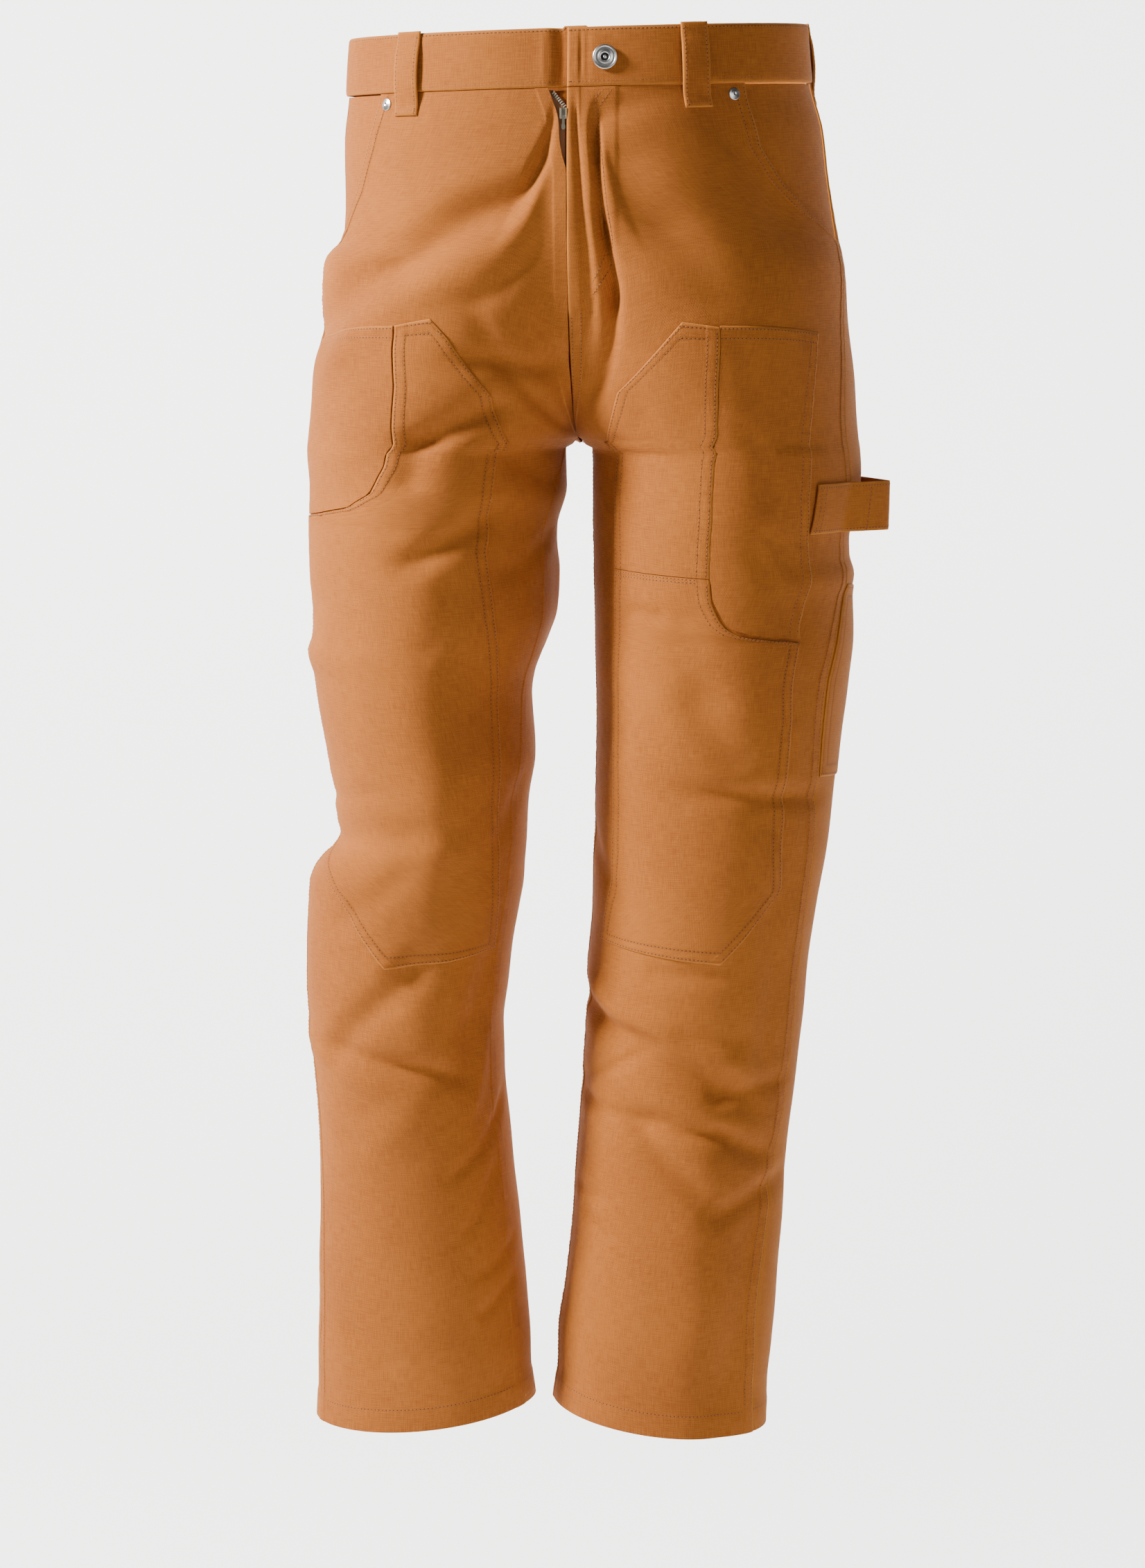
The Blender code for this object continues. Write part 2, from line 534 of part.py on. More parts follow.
# Hammer loop: a strap from the outseam, standing out and returning to the back panel
def strap_grid():
    lines = []
    for row in range(3):
        down = STRAP_TOP + STRAP_HEIGHT * row / 2
        first = [cloth("left", np.array([s]), np.array([down]), np.array([3.2]), "front")[0]
                 for s in np.linspace(0.535, 0.3, 4)]
        last = [cloth("left", np.array([s]), np.array([down]), np.array([3.4]), "back")[0]
                for s in (3.66, 3.56, 3.46)]
        z = first[0][2]
        a, b = first[-1], last[0]
        free = [(a[0] * 0.6 + 0.4 * STRAP_REACH * MM, a[1] + 0.010), (STRAP_REACH * MM - 0.003, a[1] + 0.026),
                (STRAP_REACH * MM, a[1] + 0.031), (STRAP_REACH * MM - 0.002, a[1] + 0.036),
                (b[0] * 0.5 + 0.5 * STRAP_REACH * MM, (a[1] + 0.036 + b[1]) / 2 + 0.004)]
        points = list(first) + [np.array([x, y, z]) for x, y in free] + list(last)
        for p in points:
            p[2] = z
        lines.append(points)
    return np.array(lines)


def thick(name, grid, wall, look):
    """Wall of a given thickness about a sheet of points."""
    across, along = np.gradient(grid, axis=1), np.gradient(grid, axis=0)
    n = np.cross(across, along)
    n = n / np.linalg.norm(n, axis=-1, keepdims=True)
    return wall_solid(name, grid - n * wall * MM / 2, grid + n * wall * MM / 2, look)


thick("hammer_loop", strap_grid(), 1.5, CANVAS)

# Fly: tapes, shield, slider and pull tab
def near_centre(x, down, out):
    """A point `x` from the centre plane (right side negative) on the unfolded front, in metres."""
    leg = "left" if x >= 0 else "right"
    s = np.array([centre_s(leg, abs(x), down)])
    at = bare(leg, s, np.array([float(down)]), "front")[0]
    return (at + outward(leg, s, np.array([float(down)]), "front")[0] * out) * MM


def centre_outline(leg, points):
    return [(lattice_share(leg, "front", centre_s(leg, x, d), d), d) for x, d in points]


tape_right = centre_outline("right", ((19, 43.4), (9.8, 43.4), (0.6, 53.5), (0.6, 96), (13, 96), (14, 60)))
cut("zip_tape_right", "right", "front", tape_right, -1.9, -0.9, TAPE)
tape_left = centre_outline("left", ((0.8, 43.4), (11, 43.4), (11, 96), (0.8, 96)))
cut("zip_tape_left", "left", "front", tape_left, -1.9, -0.9, TAPE)

shield = []
for out in (-3.5, -2.3):
    shield.append(np.array([[near_centre(x, d, out - 4.4 * float(step(x / 8)) - 3.0 * float(step((-x - 3) / 6)))
                             for x in (-10.0, -6.0, -3.0, 1.0, 4.0, 8.0, 16.0, 25.0)]
                            for d in (43.6, 60.0, 80.0, 100.0, 125.0, 150.0)]))
wall_solid("fly_shield", shield[0], shield[1], CANVAS)

seat = near_centre(ZIP_X, SLIDER_TOP + SLIDER_LENGTH / 2, 0.0)


def slider_solid():
    """Channel section: base, two cheeks and the slot the pull tab hangs in."""
    half, cheek = 2.5, 0.9
    section = ((-half, 0.6), (half, 0.6), (half, -2.6), (half - cheek, -2.6), (half - cheek, -1.0),
               (cheek - half, -1.0), (cheek - half, -2.6), (-half, -2.6))
    verts = []
    for z in (SLIDER_LENGTH / 2, -SLIDER_LENGTH / 2):
        verts += [(seat[0] + x * MM, seat[1] + y * MM, seat[2] + z * MM) for x, y in section]
    n = len(section)
    faces = [[k, (k + 1) % n, n + (k + 1) % n, n + k] for k in range(n)]
    for base in (0, n):
        faces += [[base, base + 1, base + 4, base + 5], [base + 1, base + 2, base + 3, base + 4],
                  [base + 5, base + 6, base + 7, base]]
    return finish("zip_slider", verts, faces, ZIP_METAL, False)


slider_solid()
hinge = Vector((seat[0], seat[1] - TAB_OUT * MM, seat[2] + (SLIDER_TOP + SLIDER_LENGTH / 2 - TAB_HINGE) * MM))
tab_profile = ((-0.5, 0.6), (0.5, 0.6), (0.62, -6.0), (1, -7.0), (1, -9.0), (0.6, -9.8), (-0.6, -9.8), (-1, -9.0),
               (-1, -7.0), (-0.62, -6.0))
tab_verts = [(x * TAB_WIDTH / 2, y * TAB_WALL / 2, z * TAB_LENGTH / 10) for y in (-1, 1) for x, z in tab_profile]
count = len(tab_profile)
tab_faces = [list(range(count)), [count + k for k in range(count)][::-1]]
tab_faces += [[k, (k + 1) % count, count + (k + 1) % count, count + k] for k in range(count)]
tab = finish("pull_tab", [Vector(v) * MM for v in tab_verts], tab_faces, ZIP_METAL, False)
tab.matrix_world = Matrix.Translation(hinge)

# Button and rivets
at = near_centre(BUTTON_AT[0], BUTTON_AT[1], BAND_WALL + GAP)
s_button = np.array([centre_s("left", BUTTON_AT[0], BUTTON_AT[1])])
axis = outward("left", s_button, np.array([BUTTON_AT[1]]), "front")[0]
turned("button", at, axis, ((3.2, 0.0), (BUTTON_RADIUS - 0.6, 1.0), (BUTTON_RADIUS, 1.6), (BUTTON_RADIUS - 0.6, 2.4),
                            (5.6, 2.9), (3.6, 2.4), (1.6, 1.8)), 24, NICKEL)
for leg, (u, down) in RIVETS.items():
    rows, shares, grid = LATTICE[leg, "front"]
    line = np.array([np.interp(down, rows, grid[:, c]) for c in range(len(shares))])
    s = np.array([np.interp(u, shares, line)])
    d = np.array([down])
    seat_at = on_facet(leg, "front", float(s[0]), down, WALL + GAP)
    axis = outward(leg, s, d, "front")[0]
    turned("rivet_" + leg, seat_at, axis, ((RIVET_RADIUS, 0.0), (RIVET_RADIUS, 0.5), (3.4, 1.1), (1.6, 1.5)), 16, NICKEL)
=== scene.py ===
"""Brown canvas work trousers, standing open in the form they are worn in.

Sizes are millimetres. `down` is measured down from the waist; `s` runs round each leg in quarters:
0 outseam side, 1 front-most line, 2 inner side, 3 back-most line. A quarter of the outline is a cubic
p(t) = a(1-t)^3 + 3b t(1-t)^2 + 3c t^2(1-t) + d t^3 between the leg's outer, front, inner and back edges,
which are smooth columns of the tables below. The cloth is that point moved along its outward direction by
the sum of its creases, each height * exp(-(across/width)^2 - (past end/0.3 length)^2), its slack and the
puckers beside its seams, and by the piece's own lift.
"""

import math

import bpy
import numpy as np
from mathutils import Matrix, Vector


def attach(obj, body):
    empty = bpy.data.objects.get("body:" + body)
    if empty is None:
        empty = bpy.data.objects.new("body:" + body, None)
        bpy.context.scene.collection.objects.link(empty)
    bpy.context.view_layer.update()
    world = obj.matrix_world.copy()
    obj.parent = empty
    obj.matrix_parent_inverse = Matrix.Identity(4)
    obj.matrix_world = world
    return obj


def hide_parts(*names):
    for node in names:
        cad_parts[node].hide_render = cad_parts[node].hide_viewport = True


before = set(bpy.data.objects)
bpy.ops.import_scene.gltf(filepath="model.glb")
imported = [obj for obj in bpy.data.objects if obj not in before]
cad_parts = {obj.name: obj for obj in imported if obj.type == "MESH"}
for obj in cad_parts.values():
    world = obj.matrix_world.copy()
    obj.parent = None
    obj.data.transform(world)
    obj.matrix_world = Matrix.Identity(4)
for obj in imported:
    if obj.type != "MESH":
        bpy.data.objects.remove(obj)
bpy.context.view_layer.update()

# Stage: pale sweep, large soft key from the upper left, weak fill, and the camera at standing height

EYE = (0.1804, -2.6435, -0.199)
EYE_PITCH = 82.2
EYE_TURN = 4.0
LENS = 80.5
SWEEP_PALE = (0.88, 0.88, 0.875)
FLOOR_AT = -1.35


def shader_of(name, colour, rough, metal=0.0):
    """A new material, its node tree and its Principled shader."""
    made = bpy.data.materials.new(name)
    made.use_nodes = True
    shader = made.node_tree.nodes["Principled BSDF"]
    shader.inputs["Base Color"].default_value = (*colour, 1)
    shader.inputs["Roughness"].default_value = rough
    shader.inputs["Metallic"].default_value = metal
    return made, made.node_tree, shader


def put(name, verts, faces, material, soft=True):
    """A mesh object at the origin from points in metres."""
    mesh = bpy.data.meshes.new(name)
    mesh.from_pydata(np.asarray(verts, float).tolist(), [], [list(map(int, face)) for face in faces])
    mesh.polygons.foreach_set("use_smooth", [soft] * len(mesh.polygons))
    mesh.materials.append(material)
    made = bpy.data.objects.new(name, mesh)
    bpy.context.scene.collection.objects.link(made)
    return made


bend = np.radians(np.linspace(0, 90, 13))
profile = [(-3.5, FLOOR_AT)] + [(0.9 + 0.9 * math.sin(a), FLOOR_AT + 0.9 - 0.9 * math.cos(a)) for a in bend] + [(1.8, 3.2)]
sweep_verts = [(x, y, z) for y, z in profile for x in (-5.0, 5.0)]
sweep_faces = [(2 * k, 2 * k + 1, 2 * k + 3, 2 * k + 2) for k in range(len(profile) - 1)]
sweep_material, sweep_tree, sweep_shader = shader_of("sweep", SWEEP_PALE, 0.9)
# The sweep's back lets a camera behind it see through.
which_side = sweep_tree.nodes.new("ShaderNodeNewGeometry")
see_through = sweep_tree.nodes.new("ShaderNodeBsdfTransparent")
one_sided = sweep_tree.nodes.new("ShaderNodeMixShader")
sweep_tree.links.new(which_side.outputs["Backfacing"], one_sided.inputs["Fac"])
sweep_tree.links.new(sweep_shader.outputs["BSDF"], one_sided.inputs[1])
sweep_tree.links.new(see_through.outputs["BSDF"], one_sided.inputs[2])
sweep_tree.links.new(one_sided.outputs["Shader"], sweep_tree.nodes["Material Output"].inputs["Surface"])
put("sweep", sweep_verts, sweep_faces, sweep_material)


def area_light(name, at, aim, size, watts, colour):
    data = bpy.data.lights.new(name, "AREA")
    data.shape = "RECTANGLE"
    data.size, data.size_y = size
    data.energy = watts
    data.color = colour
    lamp = bpy.data.objects.new(name, data)
    lamp.location = at
    lamp.rotation_euler = (Vector(aim) - Vector(at)).to_track_quat("-Z", "Y").to_euler()
    lamp.visible_camera = False
    bpy.context.scene.collection.objects.link(lamp)


area_light("key", (-2.2, -0.85, 1.15), (0.0, 0.0, -0.4), (0.5, 0.5), 250, (1.0, 0.985, 0.95))
area_light("fill", (1.9, -2.7, 0.4), (0.0, 0.0, -0.5), (2.0, 2.0), 30, (0.98, 0.99, 1.0))
area_light("wall_wash", (0.0, 0.3, 0.0), (0.0, 1.8, 0.0), (4.6, 2.6), 185, (1.0, 1.0, 1.0))
world = bpy.data.worlds.new("studio")
world.use_nodes = True
world.node_tree.nodes["Background"].inputs["Color"].default_value = (0.95, 0.96, 0.97, 1)
# The world is dim as a light and pale to the camera.
seen = world.node_tree.nodes.new("ShaderNodeLightPath")
brightness = world.node_tree.nodes.new("ShaderNodeMath")
brightness.operation = "MULTIPLY_ADD"
brightness.inputs[1].default_value = 2.2
brightness.inputs[2].default_value = 0.04
world.node_tree.links.new(seen.outputs["Is Camera Ray"], brightness.inputs[0])
world.node_tree.links.new(brightness.outputs[0], world.node_tree.nodes["Background"].inputs["Strength"])
bpy.context.scene.world = world
camera = bpy.data.objects.new("camera", bpy.data.cameras.new("camera"))
camera.data.lens = LENS
camera.data.sensor_width = 36
camera.location = EYE
camera.rotation_euler = (math.radians(EYE_PITCH), 0, math.radians(EYE_TURN))
bpy.context.scene.collection.objects.link(camera)
bpy.context.scene.camera = camera

# The garment's surface, shared by every cut piece
MM = 0.001
BAND = 42.0
CROTCH = 300.0
HEM = 1062.0
WALL = 1.2
GAP = 0.3
SEAM_GAP = 0.17
HEM_RISE = 17.0
HEM_DIP = 4.0
TILT_X = 0.028
TILT_Y = 0.045
ROUND = 0.56
SIDE = {"right": -1.0, "left": 1.0}

# Columns: down, outer edge, inner edge, each as a distance from the centre plane.
LEG = {
    "right": (
        (0, 167, 0), (42, 170, 0), (75, 173.5, 0), (112, 174, 0), (150, 176.5, 0), (166, 189.5, 0),
        (190, 191.5, 0), (215, 192.5, 0), (232, 196.5, 0), (272, 200, 0), (300, 202.5, 0),
        (307, 203, 11), (335, 201, 11), (366, 201.5, 18.5), (400, 201, 19), (430, 199, 20.5),
        (447, 199.5, 25), (460, 203, 29), (477, 198, 35), (492, 196, 37), (510, 193.5, 36),
        (540, 188, 34.5), (572, 183, 39), (599, 182, 41), (608, 188, 41.5), (621, 197.5, 42.5),
        (636, 204, 43.5), (655, 205.5, 47), (685, 207.5, 52), (717, 208, 55.5), (750, 206, 59.5),
        (782, 203, 59), (815, 201, 56.5), (864, 200, 51.5), (914, 201, 46.5), (964, 202, 42),
        (1014, 203.5, 39), (1035, 203.5, 38.5), (1062, 204.5, 36)),
    "left": (
        (0, 167, 0), (42, 171, 0), (75, 180, 0), (112, 185, 0), (150, 192, 0), (172, 197, 0),
        (210, 200.5, 0), (250, 205, 0), (300, 209, 0), (307, 210, 11.5), (325, 211, 12),
        (350, 208, 12), (374, 203, 12.5), (386, 203.5, 13), (400, 207, 13), (416, 204.5, 13.5),
        (447, 205.5, 14.5), (480, 202, 15), (520, 197.5, 15.5), (560, 193, 15), (604, 189, 13.5),
        (652, 181, 12), (701, 174.5, 9), (750, 170, 7), (800, 164.5, 3.5), (850, 159, 0),
        (900, 156.5, -3.5), (950, 153, -8.5), (1000, 149, -14), (1030, 145.5, -14.5), (1062, 145, -18.5))}
# Columns: down, front depth, back depth, front-most share of the width, back-most share.
DEPTH = (
    (0, -117, 112, 0.12, 0.14), (42, -121, 118, 0.12, 0.18), (110, -126, 132, 0.2, 0.34),
    (170, -126, 142, 0.34, 0.46), (230, -121, 143, 0.46, 0.52), (300, -114, 133, 0.5, 0.5),
    (360, -110, 120, 0.5, 0.5), (440, -104, 108, 0.5, 0.5), (520, -97, 98, 0.5, 0.5),
    (600, -88, 88, 0.5, 0.5), (700, -79, 83, 0.5, 0.5), (800, -70, 80, 0.5, 0.5),
    (900, -63, 76, 0.5, 0.5), (1000, -58, 70, 0.5, 0.5), (1062, -56, 66, 0.5, 0.5))
# Columns: share of the way down the rise, down, depth.
RISE = {
    "front": ((0, 42, -121), (0.25, 118, -125), (0.5, 198, -110), (0.7, 249, -84), (0.85, 280, -50),
              (0.94, 293, -18), (1, 299, 15)),
    "back": ((0, 42, 118), (0.25, 118, 130), (0.5, 198, 129), (0.7, 256, 108), (0.85, 292, 76),
             (0.94, 304, 46), (1, 299, 15))}
# Columns: down, outseam s, inseam s.
SEAM = {
    "right": ((0, 0, 2), (300, 0, 2), (307, 0, 1.97), (350, 0, 1.82), (480, 0.02, 1.84), (560, 0.02, 1.76),
              (760, 0.1, 1.78), (860, 0.16, 1.8), (960, 0.2, 1.76), (1062, 0.2, 1.76)),
    "left": ((0, 0, 2), (42, 0.02, 2), (110, 0.05, 2), (170, 0.1, 2), (300, 0.27, 2), (307, 0.27, 2),
             (380, 0.2, 2), (480, 0.38, 2), (560, 0.34, 2), (700, 0.27, 2), (800, 0.26, 2),
             (950, 0.36, 2), (1062, 0.3, 2))}
# Columns: leg, start s, start down, end s, end down, half width, height (troughs are negative).
FOLDS = (
    ("right", 1.3, 92, 0.2, 214, 12, -4.5),
    ("right", 1.2, 128, 0.55, 226, 12, 2.5),
    ("right", 1.0, 384, 1.35, 352, 10, -3.5),
    ("right", 0.85, 304, 1.25, 262, 10, -2.0),
    ("right", 1.2, 208, 1.7, 262, 9, -2.5),
    ("right", 0.0, 604, 0.95, 588, 13, -3.5),
    ("right", 0.75, 764, 1.25, 776, 9, -3.0),
    ("right", 1.6, 700, 1.48, 766, 10, -3.0),
    ("right", 0.2, 758, 0.8, 782, 11, 2.5),
    ("right", 3.5, 640, 2.5, 600, 14, -4.0),
    ("right", 3.4, 560, 2.6, 640, 14, -3.5),
    ("left", 1.78, 60, 1.8, 168, 7, -3.0),
    ("left", 1.66, 736, 0.85, 784, 10, -4.5),
    ("left", 1.62, 716, 0.82, 760, 9, 2.5),
    ("left", 1.2, 806, 0.5, 834, 9, -3.5),
    ("left", 1.35, 802, 0.9, 862, 9, -2.5),
    ("left", 0.98, 756, 0.6, 796, 11, -3.0),
    ("left", 1.1, 556, 0.6, 560, 9, -1.8),
    ("left", 3.5, 620, 2.5, 650, 14, -4.0),
    ("left", 3.4, 680, 2.6, 600, 14, -3.5))
QUARTER = 95.0

# Smooth columns

def smooth(x, xs, ys):
    """Monotone cubic through a table's points: no overshoot between rows."""
    xs, ys = np.asarray(xs, float), np.asarray(ys, float)
    h = np.diff(xs)
    d = np.diff(ys) / h
    m = np.zeros_like(ys)
    m[0], m[-1] = d[0], d[-1]
    turn = d[:-1] * d[1:] > 0
    a, b = np.where(turn, d[:-1], 1), np.where(turn, d[1:], 1)
    w1, w2 = 2 * h[1:] + h[:-1], h[1:] + 2 * h[:-1]
    m[1:-1] = np.where(turn, (w1 + w2) / (w1 / a + w2 / b), 0)
    k = np.clip(np.searchsorted(xs, x) - 1, 0, len(h) - 1)
    t = np.clip((x - xs[k]) / h[k], 0, 1)
    start = ys[k] * (1 + 2 * t) * (1 - t) ** 2 + h[k] * m[k] * t * (1 - t) ** 2
    return start + ys[k + 1] * t * t * (3 - 2 * t) + h[k] * m[k + 1] * t * t * (t - 1)


def column(table, number, x):
    rows = np.array(table, float)
    return smooth(np.asarray(x, float), rows[:, 0], rows[:, number])


def step(t):
    t = np.clip(t, 0, 1)
    return t * t * (3 - 2 * t)


def arc(t, a, b, c, d):
    """Cubic from a to d, drawn towards b and c."""
    return a * (1 - t) ** 3 + 3 * b * t * (1 - t) ** 2 + 3 * c * t * t * (1 - t) + d * t ** 3


# The garment's surface

def bare(leg, s, down, side):
    """Surface points before folds, from the leg's outer, inner, front and back edges."""
    s, down = np.broadcast_arrays(np.asarray(s, float), np.asarray(down, float))
    s = np.where(s >= 4, s - 4, s)
    s = np.minimum(s, 2 - 1e-6) if side == "front" else s
    outer, inner = column(LEG[leg], 1, down), column(LEG[leg], 2, down)
    front, back = column(DEPTH, 1, down), column(DEPTH, 2, down)
    above = down < CROTCH
    rise = np.clip((down - BAND) / (CROTCH - BAND), 0, 1)
    turn = step((rise - 0.35) / 0.65)
    inner = inner + np.where(down <= CROTCH, 1.5 * turn, 0)
    drift = inner * 0.5 * step((down - 200) / 100)
    front_x, back_x = outer * column(DEPTH, 3, down) + drift, outer * column(DEPTH, 4, down) + drift
    middle = (front + back) / 2
    below_y = 15 + (middle - 11) * step((down - CROTCH) / 60)
    front_in = np.where(down < BAND, front, np.where(above, column(RISE["front"], 2, rise), below_y))
    back_in = np.where(down < BAND, back, np.where(above, column(RISE["back"], 2, rise), below_y))
    q = np.floor(s).astype(int)
    t = s - q
    pull = ROUND * (1 - turn)
    x = np.select([q == 0, q == 1, q == 2, q == 3], [
        arc(t, outer, outer, front_x + ROUND * (outer - front_x), front_x),
        arc(t, front_x, front_x - ROUND * (front_x - inner), inner + pull * (front_x - inner), inner),
        arc(t, inner, inner + pull * (back_x - inner), back_x - ROUND * (back_x - inner), back_x),
        arc(t, back_x, back_x + ROUND * (outer - back_x), outer, outer)])
    bend = ROUND * turn
    y = np.select([q == 0, q == 1, q == 2, q == 3], [
        arc(t, middle, middle + ROUND * (front - middle), front, front),
        arc(t, front, front, front_in - bend * (front_in - front), front_in),
        arc(t, back_in, back_in + bend * (back - back_in), back, back),
        arc(t, back, back, middle + ROUND * (back - middle), middle)])
    inside = above & (down > BAND)
    fade = -(1 - step((down - CROTCH) / 40))
    front_drop = np.where(inside, column(RISE["front"], 1, rise) - down, np.where(above, 0, fade))
    back_drop = np.where(inside, column(RISE["back"], 1, rise) - down, np.where(above, 0, fade))
    depth = down + np.where(s < 2, step((s - 0.5) / 1.5) * front_drop, step((3.5 - s) / 1.5) * back_drop)
    x_side = SIDE[leg] * x
    share = np.clip((outer - x) / (outer - inner), 0, 1)
    z = -depth + (TILT_X * x_side + TILT_Y * y) * (1 - step(depth / 250))
    dip = HEM_DIP * 4 * share * (1 - share) * (y < 20)
    z = z + (HEM_RISE * share - dip) * step((depth - 920) / 140)
    return np.stack([x_side, y, z], -1)


def outward(leg, s, down, side):
    """Unit direction out of the cloth."""
    along = bare(leg, s + 0.01, down, side) - bare(leg, s - 0.01, down, side)
    fall = bare(leg, s, down + 1, side) - bare(leg, s, np.maximum(down - 1, 0), side)
    n = np.cross(along, fall) * SIDE[leg]
    return n / np.maximum(np.linalg.norm(n, axis=-1, keepdims=True), 1e-9)


def fold_height(leg, s, down):
    """Sum of soft troughs and ridges: exp(-(across/width)^2), fading past each end."""
    total = np.zeros(np.broadcast(s, down).shape)
    for name, s0, d0, s1, d1, width, height in FOLDS:
        if name != leg:
            continue
        way = np.array([(s1 - s0) * QUARTER, d1 - d0])
        length = np.hypot(*way)
        way = way / length
        from_s = (np.mod(s - s0 + 2, 4) - 2) * QUARTER
        from_d = down - d0
        along = from_s * way[0] + from_d * way[1]
        across = from_s * way[1] - from_d * way[0]
        past = np.maximum(np.maximum(-along, along - length), 0)
        apart = (down < CROTCH) & ((s < 2) != (s0 < 2)) & (np.abs(s - 2) < 1)
        total += np.where(apart, 0, height * np.exp(-(across / width) ** 2 - (past / (0.3 * length)) ** 2))
    return total * step((down - BAND) / 25)


def cloth(leg, s, down, out, side):
    """Points on the folded cloth, moved out by `out`, in metres."""
    s, down = np.asarray(s, float), np.asarray(down, float)
    lift = fold_height(leg, s, down) + out
    at = bare(leg, s, down, side) + outward(leg, s, down, side) * lift[..., None]
    keep = down < CROTCH + 6
    at[..., 0] = np.where(keep, SIDE[leg] * np.maximum(SIDE[leg] * at[..., 0], 0.15), at[..., 0])
    return at * MM


def centre_s(leg, x, down):
    """The s on the front whose surface stands `x` from the centre plane."""
    trial = np.linspace(0.6, 2, 281)
    far = bare(leg, trial, np.full(281, float(down)), "front")[:, 0] * SIDE[leg]
    return float(np.interp(-x, -far, trial))


# Fine relief: soft ripples all over, fine creases, and puckers along the seams

# Columns: start s, start down, end s, end down, half width, height.
FINE_FOLDS = {
    "right": ((1.43, 88, 0.90, 126, 11, -3.4), (0.90, 126, 0.66, 170, 11, -3.4), (0.66, 172, 0.35, 220, 11, -3.4),
              (1.54, 148, 1.08, 182, 9, -2.5), (1.84, 214, 1.24, 230, 9, -4.7), (1.26, 266, 1.01, 300, 8, -5.4),
              (1.01, 300, 0.92, 326, 8, -4.7), (1.30, 358, 1.03, 386, 8, -2.5), (1.13, 406, 1.09, 446, 10, -2.3),
              (1.06, 420, 1.11, 576, 16, 2.6), (1.11, 576, 1.31, 748, 16, 2.9), (1.08, 694, 0.62, 756, 11, -5.0),
              (0.42, 760, 1.08, 768, 6, -1.9), (1.08, 768, 1.38, 780, 6, -1.6), (1.11, 790, 0.90, 824, 14, 2.1),
              (1.78, 812, 1.40, 850, 5, -3.1), (1.64, 864, 1.40, 894, 5, -2.8), (1.75, 918, 1.49, 932, 5, -2.3),
              (1.70, 950, 1.46, 966, 5, -2.3), (0.57, 828, 0.69, 834, 5, -1.6), (0.56, 986, 0.84, 1004, 8, -1.9),
              (0.95, 692, 1.13, 746, 14, 2.3), (0.11, 566, 0.63, 562, 6, -1.4), (0.64, 658, 0.92, 624, 9, -1.9),
              (1.67, 754, 1.50, 800, 6, 2.0), (0.47, 346, 0.85, 360, 9, -1.2), (1.75, 330, 1.5, 312, 7, -2.5),
              (1.8, 372, 1.5, 392, 7, -2.5), (1.75, 560, 1.5, 600, 8, -1.9),
              (3.7, 420, 3.1, 470, 10, -2.9), (2.4, 520, 3.0, 560, 10, -2.6), (2.3, 320, 3.0, 362, 9, -3.4),
              (3.2, 340, 2.5, 380, 9, -3.1), (2.6, 850, 3.4, 870, 10, -2.9), (3.5, 760, 2.7, 742, 10, -3.0),
              (2.5, 180, 3.0, 240, 12, -2.6), (2.1, 400, 2.2, 455, 9, 3.2), (2.9, 700, 3.3, 760, 14, 2.6)),
    "left": ((0.95, 50, 1.20, 84, 9, -4.7), (1.20, 84, 1.44, 132, 9, -6.5), (1.44, 132, 1.53, 174, 9, -7.1),
             (1.53, 174, 1.64, 230, 9, -6.5), (0.98, 94, 0.91, 138, 9, -3.4), (0.91, 138, 0.83, 188, 10, -2.5),
             (0.59, 76, 0.50, 138, 8, -2.5), (0.84, 230, 0.81, 262, 5, -1.4), (0.86, 298, 0.78, 334, 6, -1.4),
             (0.75, 368, 0.65, 394, 5, -1.2), (0.84, 378, 0.79, 398, 5, -1.2), (1.45, 424, 1.31, 428, 6, -2.2),
             (1.14, 430, 1.08, 486, 12, -2.5), (1.08, 486, 0.90, 530, 11, -3.1), (0.92, 558, 0.42, 560, 7, -2.8),
             (0.66, 580, 0.49, 634, 10, -2.0), (1.21, 692, 0.92, 694, 8, -2.5), (1.83, 728, 1.25, 748, 7, -3.1),
             (1.25, 748, 0.84, 786, 7, -2.5), (0.75, 792, 0.40, 784, 7, -3.1), (1.81, 784, 1.39, 764, 5, -2.5),
             (1.75, 800, 1.22, 810, 6, -3.7), (1.18, 814, 0.81, 820, 6, -2.8), (0.81, 820, 0.52, 838, 6, -2.2),
             (1.23, 820, 0.90, 864, 9, -1.9), (0.68, 880, 0.22, 864, 9, -4.3), (1.74, 872, 1.52, 872, 5, -1.9),
             (1.64, 892, 1.46, 904, 5, -2.2), (0.87, 852, 0.83, 982, 16, 2.6), (0.47, 906, 0.58, 1032, 14, -3.7),
             (0.55, 656, 0.49, 758, 12, -3.4), (1.02, 744, 0.74, 744, 9, -1.9), (1.44, 222, 1.30, 270, 9, -1.4),
             (1.25, 236, 1.10, 274, 7, -1.2), (1.41, 462, 1.45, 536, 18, 1.6), (0.62, 430, 0.57, 488, 8, -1.6),
             (1.64, 720, 1.14, 754, 12, 2.1), (1.85, 600, 1.5, 640, 8, -1.9),
             (3.7, 440, 3.2, 490, 10, -2.9), (2.4, 540, 3.0, 520, 10, -2.6), (2.3, 330, 3.0, 368, 9, -3.4),
             (3.2, 350, 2.5, 330, 9, -3.1), (2.6, 820, 3.4, 850, 10, -3.0), (3.5, 730, 2.7, 760, 10, -3.0),
             (2.5, 190, 3.0, 250, 12, -2.6), (2.9, 690, 3.3, 750, 14, 2.6))}
SEAM_LINES = {"right": [], "left": []}


